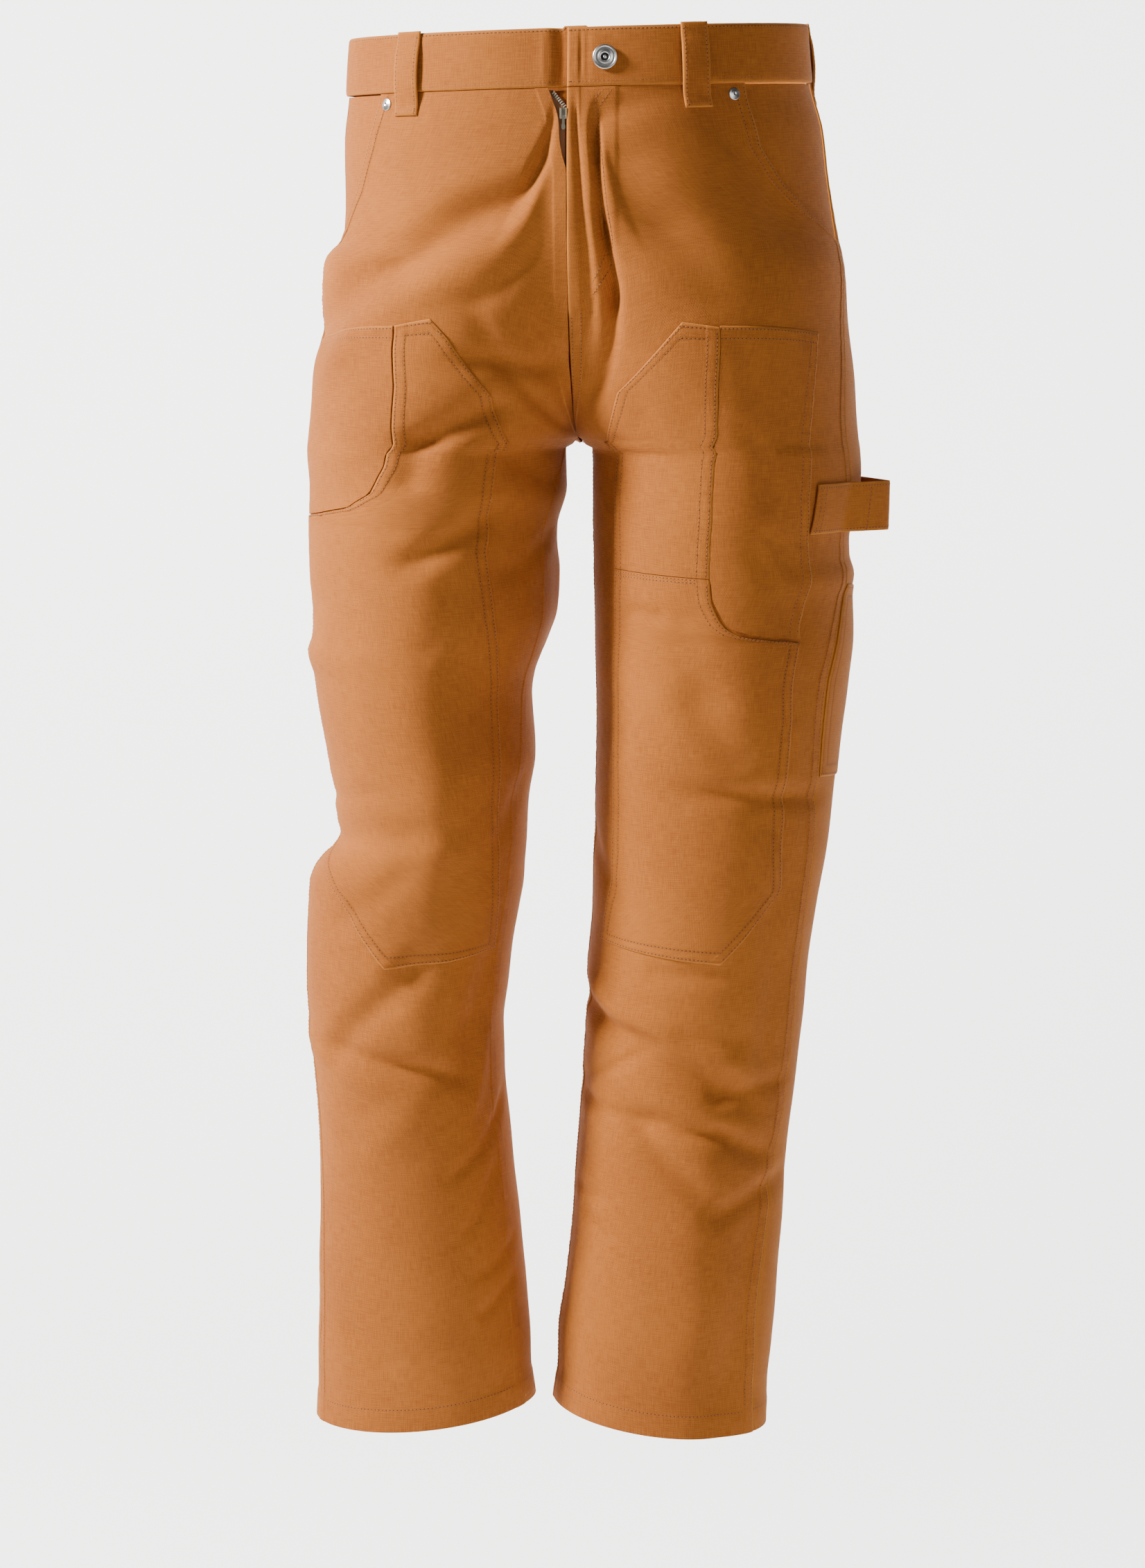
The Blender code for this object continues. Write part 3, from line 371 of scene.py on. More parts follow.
def creases(folds, s, down, leg):
    """Heights of a table of creases at each (s, down)."""
    total = np.zeros(np.broadcast(s, down).shape)
    for s0, d0, s1, d1, width, height in folds:
        way = np.array([(s1 - s0) * QUARTER, d1 - d0])
        length = np.hypot(*way)
        way = way / length
        from_s, from_d = (np.mod(s - s0 + 2, 4) - 2) * QUARTER, down - d0
        along = from_s * way[0] + from_d * way[1]
        aside = from_s * way[1] - from_d * way[0] + 2.5 * np.sin(along / 17 + s0 * 9)
        past = np.maximum(np.maximum(-along, along - length), 0)
        apart = (down < CROTCH) & ((s < 2) != (s0 < 2)) & (np.abs(s - 2) < 1)
        total += np.where(apart, 0, height * np.exp(-(aside / width) ** 2 - (past / (0.3 * length)) ** 2))
    return total


def puckers(leg, s, down):
    """Small waves beside each sewn line: sin(run along it) * exp(-(distance)^2)."""
    total = np.zeros(np.broadcast(s, down).shape)
    for line in SEAM_LINES[leg]:
        near = np.full(total.shape, 1e3)
        at = np.zeros(total.shape)
        run = 0.0
        for (s0, d0), (s1, d1) in zip(line[:-1], line[1:]):
            way = np.array([(s1 - s0) * QUARTER, d1 - d0])
            length = max(np.hypot(*way), 1e-6)
            from_s, from_d = (np.mod(s - s0 + 2, 4) - 2) * QUARTER, down - d0
            t = np.clip((from_s * way[0] + from_d * way[1]) / length ** 2, 0, 1)
            gap = np.hypot(from_s - t * way[0], from_d - t * way[1])
            closer = gap < near
            near, at = np.where(closer, gap, near), np.where(closer, run + t * length, at)
            run += length
        wave = np.sin(at / 1.9 + 1.3 * np.sin(at / 23)) * (0.6 + 0.4 * np.sin(at / 31 + line[0][1]))
        total += 0.24 * wave * np.exp(-((near - 4) / 6.5) ** 2)
    return total


def relief(leg, s, down):
    """Fine creases, loose ripples and seam puckers, none of them under the waistband."""
    across_mm = s * QUARTER
    phase = 0.7 if leg == "left" else 2.1
    ripple = (np.sin(across_mm / 13 + down / 37 + phase) * np.sin(down / 19 - across_mm / 41)
              + 0.6 * np.sin(across_mm / 29 - down / 23 + 2 * phase) + 0.5 * np.sin(down / 9.5 + across_mm / 17) *
              np.sin(across_mm / 22 + phase))
    return (creases(FINE_FOLDS[leg], s, down, leg) + 0.28 * ripple + puckers(leg, s, down)) * step((down - BAND) / 25)


def cloth(leg, s, down, out, side):
    """Points on the creased cloth, moved out by `out`, in metres."""
    s, down = np.broadcast_arrays(np.asarray(s, float), np.asarray(down, float))
    lift = fold_height(leg, s, down) + relief(leg, s, down) + out
    at = bare(leg, s, down, side) + outward(leg, s, down, side) * lift[..., None]
    keep = down < CROTCH + 6
    at[..., 0] = np.where(keep, SIDE[leg] * np.maximum(SIDE[leg] * at[..., 0], 0.15), at[..., 0])
    return at * MM


# Canvas: plain weave with slubbed threads, dyed tan, paler at its edges, partly from wear and partly as a painted
# highlight, with painted shade along its stitch rows

PITCH = 0.00085
CANVAS = (0.455, 0.148, 0.026)
# Paler edge colour: partly wear, partly a painted highlight on the raised edges.
CANVAS_WEAR_AND_HIGHLIGHT = (0.58, 0.22, 0.04)
CANVAS_DEEP = (0.245, 0.069, 0.014)
# Painted shade laid along the stitch rows, where the grooves are shaded.
CANVAS_ROW_SHADE = (0.13, 0.034, 0.004)
THREAD = (0.33, 0.105, 0.014)


def canvas_material(name, base=CANVAS, deep=CANVAS_DEEP):
    """Weave height is the larger thread at each crossing: over = sin(u) sin(v) > 0 picks warp or weft."""
    made, tree, shader = shader_of(name, base, 0.86)
    shader.inputs["Sheen Weight"].default_value = 0.01
    shader.inputs["Sheen Roughness"].default_value = 0.5
    shader.inputs["Specular IOR Level"].default_value = 0.1
    add, link = tree.nodes.new, tree.links.new

    def maths(kind, a, b=None):
        node = add("ShaderNodeMath")
        node.operation = kind
        for slot_number, value in enumerate((a, b)):
            if isinstance(value, (int, float)):
                node.inputs[slot_number].default_value = value
            elif value is not None:
                link(value, node.inputs[slot_number])
        return node.outputs[0]

    place = add("ShaderNodeUVMap")
    place.uv_map = "cut"
    axes = add("ShaderNodeSeparateXYZ")
    link(place.outputs[0], axes.inputs[0])
    u = maths("SINE", maths("MULTIPLY", axes.outputs[0], math.pi / PITCH))
    v = maths("SINE", maths("MULTIPLY", axes.outputs[1], math.pi / PITCH))
    over = maths("GREATER_THAN", maths("MULTIPLY", u, v), 0.0)
    warp, weft = maths("ABSOLUTE", u), maths("ABSOLUTE", v)
    weave = maths("ADD", maths("MULTIPLY", warp, over), maths("MULTIPLY", weft, maths("SUBTRACT", 1.0, over)))

    def slub(stretch, scale):
        move = add("ShaderNodeMapping")
        move.inputs["Scale"].default_value = stretch
        link(place.outputs[0], move.inputs["Vector"])
        noise = add("ShaderNodeTexNoise")
        noise.inputs["Scale"].default_value = scale
        noise.inputs["Detail"].default_value = 2.0
        link(move.outputs[0], noise.inputs["Vector"])
        return noise.outputs["Fac"]

    along, across = slub((14, 1, 1), 90), slub((1, 14, 1), 90)
    grain = maths("MULTIPLY", maths("ADD", along, across), 0.5)
    spot = add("ShaderNodeTexCoord")
    cloud = add("ShaderNodeTexNoise")
    cloud.inputs["Scale"].default_value = 9.0
    cloud.inputs["Detail"].default_value = 3.0
    link(spot.outputs["Object"], cloud.inputs["Vector"])
    fleck = slub((1, 1, 1), 1500)
    tone = maths("ADD", maths("MULTIPLY", grain, 0.55), maths("MULTIPLY", cloud.outputs["Fac"], 0.25))
    tone = maths("ADD", tone, maths("MULTIPLY", fleck, 0.2))
    tone = maths("ADD", tone, maths("MULTIPLY", maths("SUBTRACT", weave, 0.7), 0.3))
    ramp = add("ShaderNodeValToRGB")
    ramp.color_ramp.elements[0].position = 0.38
    ramp.color_ramp.elements[0].color = (*deep, 1)
    ramp.color_ramp.elements[1].position = 0.60
    ramp.color_ramp.elements[1].color = (*base, 1)
    link(tone, ramp.inputs[0])
    # Paler towards the edges (wear and painted highlight); where the mark is negative, painted shade along the stitch
    # rows.
    edge_wear_and_painted_light = add("ShaderNodeMix")
    edge_wear_and_painted_light.data_type = "RGBA"
    edge_wear_and_painted_light.inputs["B"].default_value = (*CANVAS_WEAR_AND_HIGHLIGHT, 1)
    wear_and_light_attribute = add("ShaderNodeAttribute")
    wear_and_light_attribute.attribute_name = "edge_wear_and_painted_light"
    link(maths("MULTIPLY", wear_and_light_attribute.outputs["Fac"], 0.55), edge_wear_and_painted_light.inputs["Factor"])
    link(ramp.outputs[0], edge_wear_and_painted_light.inputs["A"])
    # Painted shade: darker along the stitch rows where the edge mark is negative.
    row_shade_mix = add("ShaderNodeMix")
    row_shade_mix.data_type = "RGBA"
    row_shade_mix.inputs["B"].default_value = (*CANVAS_ROW_SHADE, 1)
    link(maths("MULTIPLY", wear_and_light_attribute.outputs["Fac"], -1.0), row_shade_mix.inputs["Factor"])
    link(edge_wear_and_painted_light.outputs["Result"], row_shade_mix.inputs["A"])
    link(row_shade_mix.outputs["Result"], shader.inputs["Base Color"])
    bump = add("ShaderNodeBump")
    bump.inputs["Strength"].default_value = 0.35
    bump.inputs["Distance"].default_value = 0.00022
    link(maths("ADD", weave, maths("MULTIPLY", grain, 1.6)), bump.inputs["Height"])
    link(bump.outputs[0], shader.inputs["Normal"])
    return made


canvas = canvas_material("canvas")
canvas_back = canvas_material("canvas_back", (0.43, 0.143, 0.027), (0.30, 0.089, 0.013))

# Cut pieces: each is a table of rows running down the piece, from its first edge to its second

EDGE_STEPS = (0.0, 0.3, 0.8, 1.5, 2.2, 2.9, 4.4, 6.6, 8.2, 9.0, 9.8, 10.8, 12.5)
STEP = 3.6


def seam_s(leg, side, share, down):
    """s at a share of the way across a panel, set in from both seams by a hair."""
    outer, inner = column(SEAM[leg], 1, down), column(SEAM[leg], 2, down)
    first, last = (outer, inner) if side == "front" else (inner, outer + 4)
    return first + 0.0005 + (last - first - 0.001) * share


def graded(length, ease=1.0):
    """Distances along a piece: close together at both ends, even between."""
    near = np.array(EDGE_STEPS) * ease
    if length < 30 * ease:
        return np.linspace(0, length, max(int(length / (STEP * 0.5)), 6))
    count = max(int((length - 2 * near[-1]) / STEP), 2)
    return np.concatenate([near, np.linspace(near[-1], length - near[-1], count + 1)[1:-1], (length - near)[::-1]])


def rows_between(piece, v):
    """First and second edge (share, down) of a piece at distances v down it."""
    return [np.interp(v, piece["v"], piece["rows"][:, k]) for k in range(4)]


def layout(leg, side, rows):
    """A piece from its rows (first share, first down, second share, second down)."""
    rows = np.array(rows, float)
    moved = np.maximum(np.abs(np.diff(rows[:, 1])), np.abs(np.diff(rows[:, 3])))
    return {"leg": leg, "side": side, "rows": rows, "v": np.concatenate([[0], np.cumsum(moved)])}


def across(piece, v, reach):
    """s and down at distances `reach` (rows by columns) from the first edge, by true arc length."""
    first_u, first_d, last_u, last_d = rows_between(piece, v)
    w = np.linspace(0, 1, 61)
    down = first_d[:, None] + (last_d - first_d)[:, None] * w
    s = seam_s(piece["leg"], piece["side"], first_u[:, None] + (last_u - first_u)[:, None] * w, down)
    points = bare(piece["leg"], s, down, piece["side"])
    run = np.concatenate([np.zeros((len(v), 1)), np.cumsum(np.linalg.norm(np.diff(points, axis=1), axis=-1), axis=1)], 1)
    wanted = reach(run[:, -1])
    share = np.array([np.interp(wanted[k], run[k], w) for k in range(len(v))])
    down = first_d[:, None] + (last_d - first_d)[:, None] * share
    s = seam_s(piece["leg"], piece["side"], first_u[:, None] + (last_u - first_u)[:, None] * share, down)
    return s, down, wanted, run[:, -1]


def walled(name, inner, outer, material, uv, edge_wear_and_painted_light):
    """Closed wall between two grids of points (rows by columns), with its cut coordinates and its edge mark: paler
    edges (wear and painted highlight), and painted shade along stitch rows where the mark is negative.
    """
    rows, cols = outer.shape[:2]
    n = rows * cols
    r, c = np.meshgrid(np.arange(rows - 1), np.arange(cols - 1), indexing="ij")
    a = (r * cols + c).ravel()
    outside = np.stack([a, a + 1, a + cols + 1, a + cols], 1)
    inside = outside[:, ::-1] + n
    rim = np.concatenate([np.arange(cols), np.arange(2, rows + 1) * cols - 1,
                          (rows - 1) * cols + np.arange(cols - 2, -1, -1), np.arange(rows - 2, 0, -1) * cols])
    nxt = np.roll(rim, -1)
    edge = np.stack([nxt, rim, rim + n, nxt + n], 1)
    verts = np.concatenate([outer.reshape(-1, 3), inner.reshape(-1, 3)])
    faces = np.concatenate([outside, inside, edge])
    middle = outer[rows // 2, cols // 2]
    normal = np.cross(outer[rows // 2, cols // 2 + 1] - middle, outer[rows // 2 + 1, cols // 2] - middle)
    if normal @ (outer[rows // 2, cols // 2] - inner[rows // 2, cols // 2]) < 0:
        faces = faces[:, ::-1]
    made = put(name, verts, faces, material)
    mesh = made.data
    loops = np.empty(len(mesh.loops), dtype=np.int32)
    mesh.loops.foreach_get("vertex_index", loops)
    both = np.concatenate([uv.reshape(-1, 2), uv.reshape(-1, 2)])
    mesh.uv_layers.new(name="cut").data.foreach_set("uv", both[loops].ravel())
    wear_and_light_attribute = mesh.attributes.new("edge_wear_and_painted_light", "FLOAT", "POINT")
    wear_and_light_attribute.data.foreach_set("value", np.concatenate([edge_wear_and_painted_light.ravel(), edge_wear_and_painted_light.ravel()]).astype(np.float32))
    return made


def area_of(points):
    one = points[1:, 1:] - points[:-1, :-1]
    two = points[1:, :-1] - points[:-1, 1:]
    return float(np.linalg.norm(np.cross(one, two), axis=-1).sum() / 2)


def sew_in(made, node, points, width, length):
    """The piece rides the trousers, stands for its solid, which is hidden, and has its flat cut size and area listed.
    """
    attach(made, "trousers")
    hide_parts(node)
    cut_size = (round(width * MM + 0.0015, 3), round(length * MM + 0.0015, 3))
    area = min(area_of(points), cut_size[0] * cut_size[1])
    SIZES.append((made.name, cut_size, round(area, 4)))


SIZES = []
GROOVE = 0.16


def fly_placket(leg, s, down):
    """The doubled strip beside the centre front, rounded off at its foot where the zip ends."""
    x = np.abs(bare(leg, s, down, "front")[..., 0])
    width = 37 * np.sqrt(np.clip((178 - down) / 34, 0, 1))
    return 0.75 * step((width - x) / 2.6)


def cut_piece(name, node, piece, lift, wall, material, grooves=(2.2, 9.0),
              rolled="first second top bottom", felled="", raised="", hem=False, placket=False):
    """A walled piece: its named edges rolled over, drawn in along stitch rows, and thicker where it is doubled."""
    total = piece["v"][-1]
    v = graded(total)
    widest = float(across(piece, v, lambda length: np.zeros((len(length), 1)))[3].max())
    between = max(int(widest / STEP), 4)

    def spaced(length):
        ease = np.minimum(1.0, length / 38.0)[:, None]
        left = ease * np.array(EDGE_STEPS)
        share = np.linspace(0, 1, between + 1)[1:-1]
        middle = left[:, -1:] + (length[:, None] - 2 * left[:, -1:]) * share
        return np.concatenate([left, middle, (length[:, None] - left)[:, ::-1]], axis=1)

    s, down, from_first, length = across(piece, v, spaced)
    far = np.full(s.shape, 99.0)
    gap = {"first": from_first, "second": length[:, None] - from_first, "top": v[:, None] + 0 * s,
           "bottom": (total - v)[:, None] + 0 * s}

    def nearest(edges):
        return np.minimum.reduce([far] + [gap[k] for k in edges.split()])

    edge = nearest(rolled)
    thick = wall - 0.75 * wall * np.exp(-edge / 0.7)
    thick = thick - sum(GROOVE * np.exp(-((edge - g) / 0.9) ** 2) for g in grooves)
    thick = thick + 0.5 * step((10.2 - nearest(felled)) / 1.4) + 0.35 * step((10.4 - nearest(raised)) / 1.8)
    if hem:
        thick = thick + 0.55 * step((20.5 - gap["bottom"]) / 1.5) - 0.15 * np.exp(-((gap["bottom"] - 18) / 1.0) ** 2)
    if placket:
        thick = thick + fly_placket(piece["leg"], s, down)
    inner = cloth(piece["leg"], s, down, lift, piece["side"])
    outer = cloth(piece["leg"], s, down, lift + thick, piece["side"])
    uv = np.stack([from_first * MM, np.broadcast_to(v[:, None], s.shape) * MM], -1)
    # Edge mark: paler at the rolled edges (wear and painted highlight), negative along each stitch row for painted
    # shade.
    edge_wear_and_painted_light = np.exp(-edge / 1.3) - 0.62 * sum(np.exp(-((edge - g) / 0.6) ** 2) for g in grooves)
    made = walled(name, inner, outer, material, uv, edge_wear_and_painted_light)
    sew_in(made, node, outer, float(length.max()), total)
    return made


# Stitching: lockstitch rows, each stitch a bead of thread that dips into a needle hole at its end, with a small dark
# disc at each hole as painted shade

STITCH = 3.0
thread, _, _ = shader_of("thread", THREAD, 0.7)
# Painted shade: a near-black disc laid at each needle hole.
needle_hole_shade, _, _ = shader_of("needle_hole_shade", (0.055, 0.022, 0.008), 0.95)
BEAD_POINTS = np.array([(-1.15, 0, -0.2), (-0.7, -0.26, 0.0), (-0.7, 0, 0.26), (-0.7, 0.26, 0.0), (0.7, -0.26, 0.0),
                        (0.7, 0, 0.26), (0.7, 0.26, 0.0), (1.15, 0, -0.2)])
BEAD_FACES = [(0, 2, 1), (0, 3, 2), (1, 2, 5, 4), (2, 3, 6, 5), (7, 4, 5), (7, 5, 6)]
HOLE_SHADE_POINTS = np.array([(1.02, 0, 0.03), (1.22, -0.33, 0.03), (1.5, -0.4, 0.05), (1.78, -0.33, 0.03), (1.98, 0, 0.03),
                        (1.78, 0.33, 0.03), (1.5, 0.4, 0.05), (1.22, 0.33, 0.03)])
HOLE_SHADE_FACES = [(0, 7, 6, 1), (1, 6, 2), (2, 6, 3), (6, 5, 3), (3, 5, 4)]


def sewn(name, lines, pitch=STITCH, hole_shades=True):
    """Stitches along lines of surface points, each line points (n, 3) and outward directions (n, 3) in metres."""
    points = np.concatenate([BEAD_POINTS * np.array([pitch / STITCH, 1, 1])] + ([HOLE_SHADE_POINTS] if hole_shades else []))
    shape = BEAD_FACES + ([tuple(i + 8 for i in face) for face in HOLE_SHADE_FACES] if hole_shades else [])
    frames = []
    for line, out in lines:
        run = np.concatenate([[0], np.cumsum(np.linalg.norm(np.diff(line, axis=0), axis=1))])
        count = int(round(run[-1] / (pitch * MM)))
        if count < 1:
            continue
        at = (np.arange(count) + 0.5) * run[-1] / count
        centre, near, up = (np.stack([np.interp(x, run, a[:, k]) for k in range(3)], -1)
                            for x, a in ((at, line), (at - 0.0004, line), (at, out)))
        ahead = np.stack([np.interp(at + 0.0004, run, line[:, k]) for k in range(3)], -1) - near
        ahead /= np.linalg.norm(ahead, axis=1, keepdims=True)
        beside = np.cross(up, ahead)
        beside /= np.linalg.norm(beside, axis=1, keepdims=True)
        frames.append((centre, ahead, beside, np.cross(ahead, beside)))
    centre, ahead, beside, up = (np.concatenate(part)[:, None] for part in zip(*frames))
    t = points * MM
    verts = centre + ahead * t[None, :, :1] + beside * t[None, :, 1:2] + up * t[None, :, 2:]
    count = len(centre)
    faces = [tuple(base + i for i in face) for base in range(0, count * len(points), len(points)) for face in shape]
    made = put(name, verts.reshape(-1, 3), faces, thread)
    # The dark discs are painted shade in the needle holes.
    if hole_shades:
        made.data.materials.append(needle_hole_shade)
        which = np.array([0] * len(BEAD_FACES) + [1] * len(HOLE_SHADE_FACES), dtype=np.int32)
        made.data.polygons.foreach_set("material_index", np.tile(which, count))
    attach(made, "trousers")
    return made


def row_beside(piece, inset, lift, v0=0.0, v1=1.0, second=False):
    """A line `inset` from a piece's first edge, or its second, between two shares of its length."""
    total = piece["v"][-1]
    v = np.arange(max(v0 * total, 0.5), min(v1 * total, total - 0.5), 4.0)
    s, down, _, _ = across(piece, v, lambda length: (length - inset if second else np.full(len(length), inset))[:, None])
    return laid(piece["leg"], piece["side"], s[:, 0], down[:, 0], lift)


def row_along(piece, v_at, lift, w0=0.01, w1=0.99, from_end=False):
    """A line across a piece, `v_at` from its first row, or from its last."""
    total = piece["v"][-1]
    v = np.array([total - v_at if from_end else v_at])
    s, down, _, _ = across(piece, v, lambda length: length[:, None] * np.linspace(w0, w1, 80))
    return laid(piece["leg"], piece["side"], s[0], down[0], lift)


def laid(leg, side, s, down, lift):
    return cloth(leg, s, down, lift, side), outward(leg, s, down, side)


def traced(leg, side, points, lift):
    """A line through (share, down) points on a panel."""
    points = np.array(points, float)
    t = np.concatenate([[0], np.cumsum(np.hypot(np.diff(points[:, 0]) * 200, np.diff(points[:, 1])))])
    at = np.arange(0, t[-1], 3.0)
    down = np.interp(at, t, points[:, 1])
    return laid(leg, side, seam_s(leg, side, np.interp(at, t, points[:, 0]), down), down, lift)
# Front panels: canvas, seamed to the backs, rolled edge at the scoop pockets, fly edge at the centre

V_EDGE = ((13.0, 42), (12.4, 44), (7.2, 56), (5.5, 63), (5.0, 74), (3.4, 82), (0.2, 92))
SCOOP = {
    "right": ((0.215, 42), (0.205, 60), (0.19, 82), (0.157, 114), (0.1, 142), (0.0, 163)),
    "left": ((0.25, 42), (0.248, 58), (0.236, 88), (0.192, 114), (0.135, 134), (0.06, 147), (0.0, 155))}
FACING_EDGE = {"right": ((0.33, 42), (0.3, 110), (0.2, 160), (0.0, 192)),
               "left": ((0.36, 42), (0.34, 100), (0.24, 150), (0.0, 188))}


def centre_share(x, down):
    """Share across a front panel whose surface stands `x` from the centre plane."""
    leg = "left" if x > 0 else "right"
    first, last = column(SEAM[leg], 1, float(down)), column(SEAM[leg], 2, float(down))
    return (centre_s(leg, abs(x), down) - first - 0.002) / (last - first - 0.004)


def front_rows(leg):
    scoop = np.array(SCOOP[leg])
    downs = sorted({float(d) for d in scoop[:, 1]} | {float(d) for _, d in V_EDGE} | {HEM, 200.0, CROTCH, 307.0})
    v_line = np.array([(centre_share(-x, d), d) for x, d in V_EDGE])
    rows = []
    for d in downs:
        first = np.interp(d, scoop[:, 1], scoop[:, 0])
        last = np.interp(d, v_line[:, 1], v_line[:, 0]) if leg == "right" and d < V_EDGE[-1][1] else 1.0
        top = max(d, BAND + 0.3)
        rows.append((first, top, last, top))
    return rows


LEVEL_ONE = WALL + GAP
RIGHT_PATCH = layout("right", "front", (
    (0.384, 211.8, 0.452, 204), (0.4145, 256, 0.646, 254), (0.4205, 290, 0.678, 290), (0.4285, 316, 0.704, 316),
    (0.404, 336.4, 0.725, 334), (0.323, 348.4, 0.742, 347), (0.174, 354.4, 0.752, 356), (0.001, 358.4, 0.756, 363),
    (0.001, 378, 0.74, 378), (0.001, 430, 0.762, 430), (0.001, 476, 0.831, 476), (0.001, 570, 0.875, 570),
    (0.001, 600, 0.897, 606), (0.1, 612, 0.905, 622), (0.21, 625, 0.915, 638), (0.305, 640, 0.93, 655),
    (0.508, 692, 0.947, 682)))
LEFT_UPPER = layout("left", "front", (
    (0.392, 211, 0.464, 204), (0.404, 250, 0.709, 246), (0.409, 278, 0.727, 276), (0.411, 292, 0.735, 291),
    (0.427, 304, 0.742, 303), (0.439, 311, 0.746, 311), (0.446, 324, 0.754, 323), (0.453, 340, 0.762, 338),
    (0.458, 364, 0.764, 362), (0.466, 396.3, 0.766, 391.8)))
LEFT_LOWER = layout("left", "front", (
    (0.466, 396.7, 0.766, 392.2), (0.46, 404, 0.766, 402), (0.448, 413.5, 0.766, 410), (0.427, 423, 0.765, 418),
    (0.404, 431, 0.765, 426), (0.361, 438.5, 0.765, 432), (0.3, 441, 0.765, 438), (0.157, 444, 0.764, 446),
    (0.138, 500, 0.763, 500), (0.151, 550, 0.763, 550), (0.154, 606, 0.765, 610), (0.138, 632, 0.78, 640),
    (0.345, 686, 0.815, 674)))


def edge_line(piece, second=False):
    """An edge of a piece as (s, down) points."""
    u, d = piece["rows"][:, 2 * second], piece["rows"][:, 2 * second + 1]
    return list(zip(seam_s(piece["leg"], piece["side"], u, d).tolist(), d.tolist()))


for leg in ("right", "left"):
    downs = np.arange(60, 1061, 50.0)
    SEAM_LINES[leg].append([(float(s), float(d)) for s, d in zip(column(SEAM[leg], 1, downs), downs)])
    SEAM_LINES[leg].append([(float(s), float(d)) for s, d in zip(column(SEAM[leg], 2, downs[6:]), downs[6:])])
for piece in (RIGHT_PATCH, LEFT_UPPER, LEFT_LOWER):
    SEAM_LINES[piece["leg"]].append(edge_line(piece, True))
SEAM_LINES["right"].append(edge_line(RIGHT_PATCH)[:8])
SEAM_LINES["right"].append(edge_line(RIGHT_PATCH)[12:])
SEAM_LINES["left"].append(edge_line(LEFT_UPPER) + edge_line(LEFT_LOWER)[:7])
SEAM_LINES["left"].append(edge_line(LEFT_LOWER)[7:])
SEAM_LINES["left"].append([(0.48, 220.0), (0.58, 338.0), (0.52, 441.0)])
SEAM_LINES["left"].append([(2.0, 60.0), (2.0, 296.0)])

fronts, backs = {}, {}
WHOLE = [(0.0, BAND + 0.3, 1.0, BAND + 0.3), (0.0, CROTCH, 1.0, CROTCH), (0.0, 307.0, 1.0, 307.0), (0.0, HEM, 1.0, HEM)]
for leg in ("right", "left"):
    fronts[leg] = layout(leg, "front", front_rows(leg))
    cut_piece("front_" + leg + "_cloth", "front_" + leg, fronts[leg], 0.0, WALL, canvas, grooves=(), felled="first second",
              rolled="first second" if leg == "left" else "first", hem=True, placket=leg == "left")

# Back panels: canvas, plain, felled to the fronts down the outseam

for leg in ("right", "left"):
    backs[leg] = layout(leg, "back", WHOLE)
    cut_piece("back_" + leg + "_cloth", "back_" + leg, backs[leg], 0.0, WALL, canvas_back, grooves=(),
              rolled="second" if leg == "left" else "", hem=True)

# Scoop pocket facings: canvas under each pocket edge, sewn in at the waistband and the outseam

for leg in ("right", "left"):
    reach = FACING_EDGE[leg]
    facing = layout(leg, "front", [(0.003, max(d, BAND + 0.8), u, max(d, BAND + 0.8)) for u, d in reach[:-1]]
                    + [(0.003, reach[-1][1] - 2, 0.05, reach[-1][1] - 2)])
    cut_piece("pocket_facing_" + leg + "_cloth", "pocket_facing_" + leg, facing, -GAP - WALL, WALL, canvas,
              (), rolled="")

# Knee patch on the wearer's right leg: one layer of canvas, twin stitched, cut round the thigh inlay

RIGHT_INLAY = layout("right", "front", (
    (0.001, 226, 0.38, 212), (0.001, 256, 0.411, 256), (0.001, 290, 0.417, 290), (0.001, 316, 0.425, 316),
    (0.001, 336, 0.4, 336), (0.001, 346, 0.33, 346.6), (0.001, 353, 0.18, 353), (0.001, 356.5, 0.06, 356)))
cut_piece("thigh_inlay_right_cloth", "thigh_inlay_right", RIGHT_INLAY, LEVEL_ONE, WALL - 0.3, canvas,
          (), rolled="top")
cut_piece("knee_patch_right_cloth", "knee_patch_right", RIGHT_PATCH, LEVEL_ONE, WALL, canvas,
          rolled="first second top bottom", raised="first")

# Thigh pocket on the wearer's left leg: one canvas layer under the patches, whose curved edge is its mouth

LEFT_POCKET = layout("left", "front", (
    (0.135, 220, 0.391, 210), (0.142, 254, 0.403, 250), (0.149, 278, 0.408, 278), (0.158, 292, 0.41, 292),
    (0.166, 304, 0.426, 304), (0.17, 311, 0.438, 311), (0.179, 324, 0.445, 324), (0.187, 340, 0.452, 340),
    (0.182, 364, 0.457, 364), (0.176, 396, 0.465, 396), (0.174, 412, 0.446, 412),
    (0.172, 428, 0.403, 428), (0.17, 434, 0.375, 434), (0.165, 438.5, 0.3, 438.6), (0.157, 441.6, 0.2, 441)))
cut_piece("thigh_pocket_left_cloth", "thigh_pocket_left", LEFT_POCKET, LEVEL_ONE, WALL - 0.3, canvas,
          (), rolled="first top")
cut_piece("knee_patch_left_upper_cloth", "knee_patch_left_upper", LEFT_UPPER, LEVEL_ONE, WALL, canvas,
          rolled="first second top", raised="first")
cut_piece("knee_patch_left_lower_cloth", "knee_patch_left_lower", LEFT_LOWER, LEVEL_ONE, WALL, canvas,
          rolled="first second bottom", raised="first")

# Tool pocket: canvas on the back of the wearer's left leg, let into the outseam, its mouth just open

TOOL = layout("left", "back", ((0.70, 414, 0.993, 405), (0.70, 556, 0.995, 548)))
cut_piece("tool_pocket_cloth", "tool_pocket", TOOL, LEVEL_ONE, WALL, canvas_back)

# Waistband: a folded strip of canvas round the waist, its end in the underlap behind the button

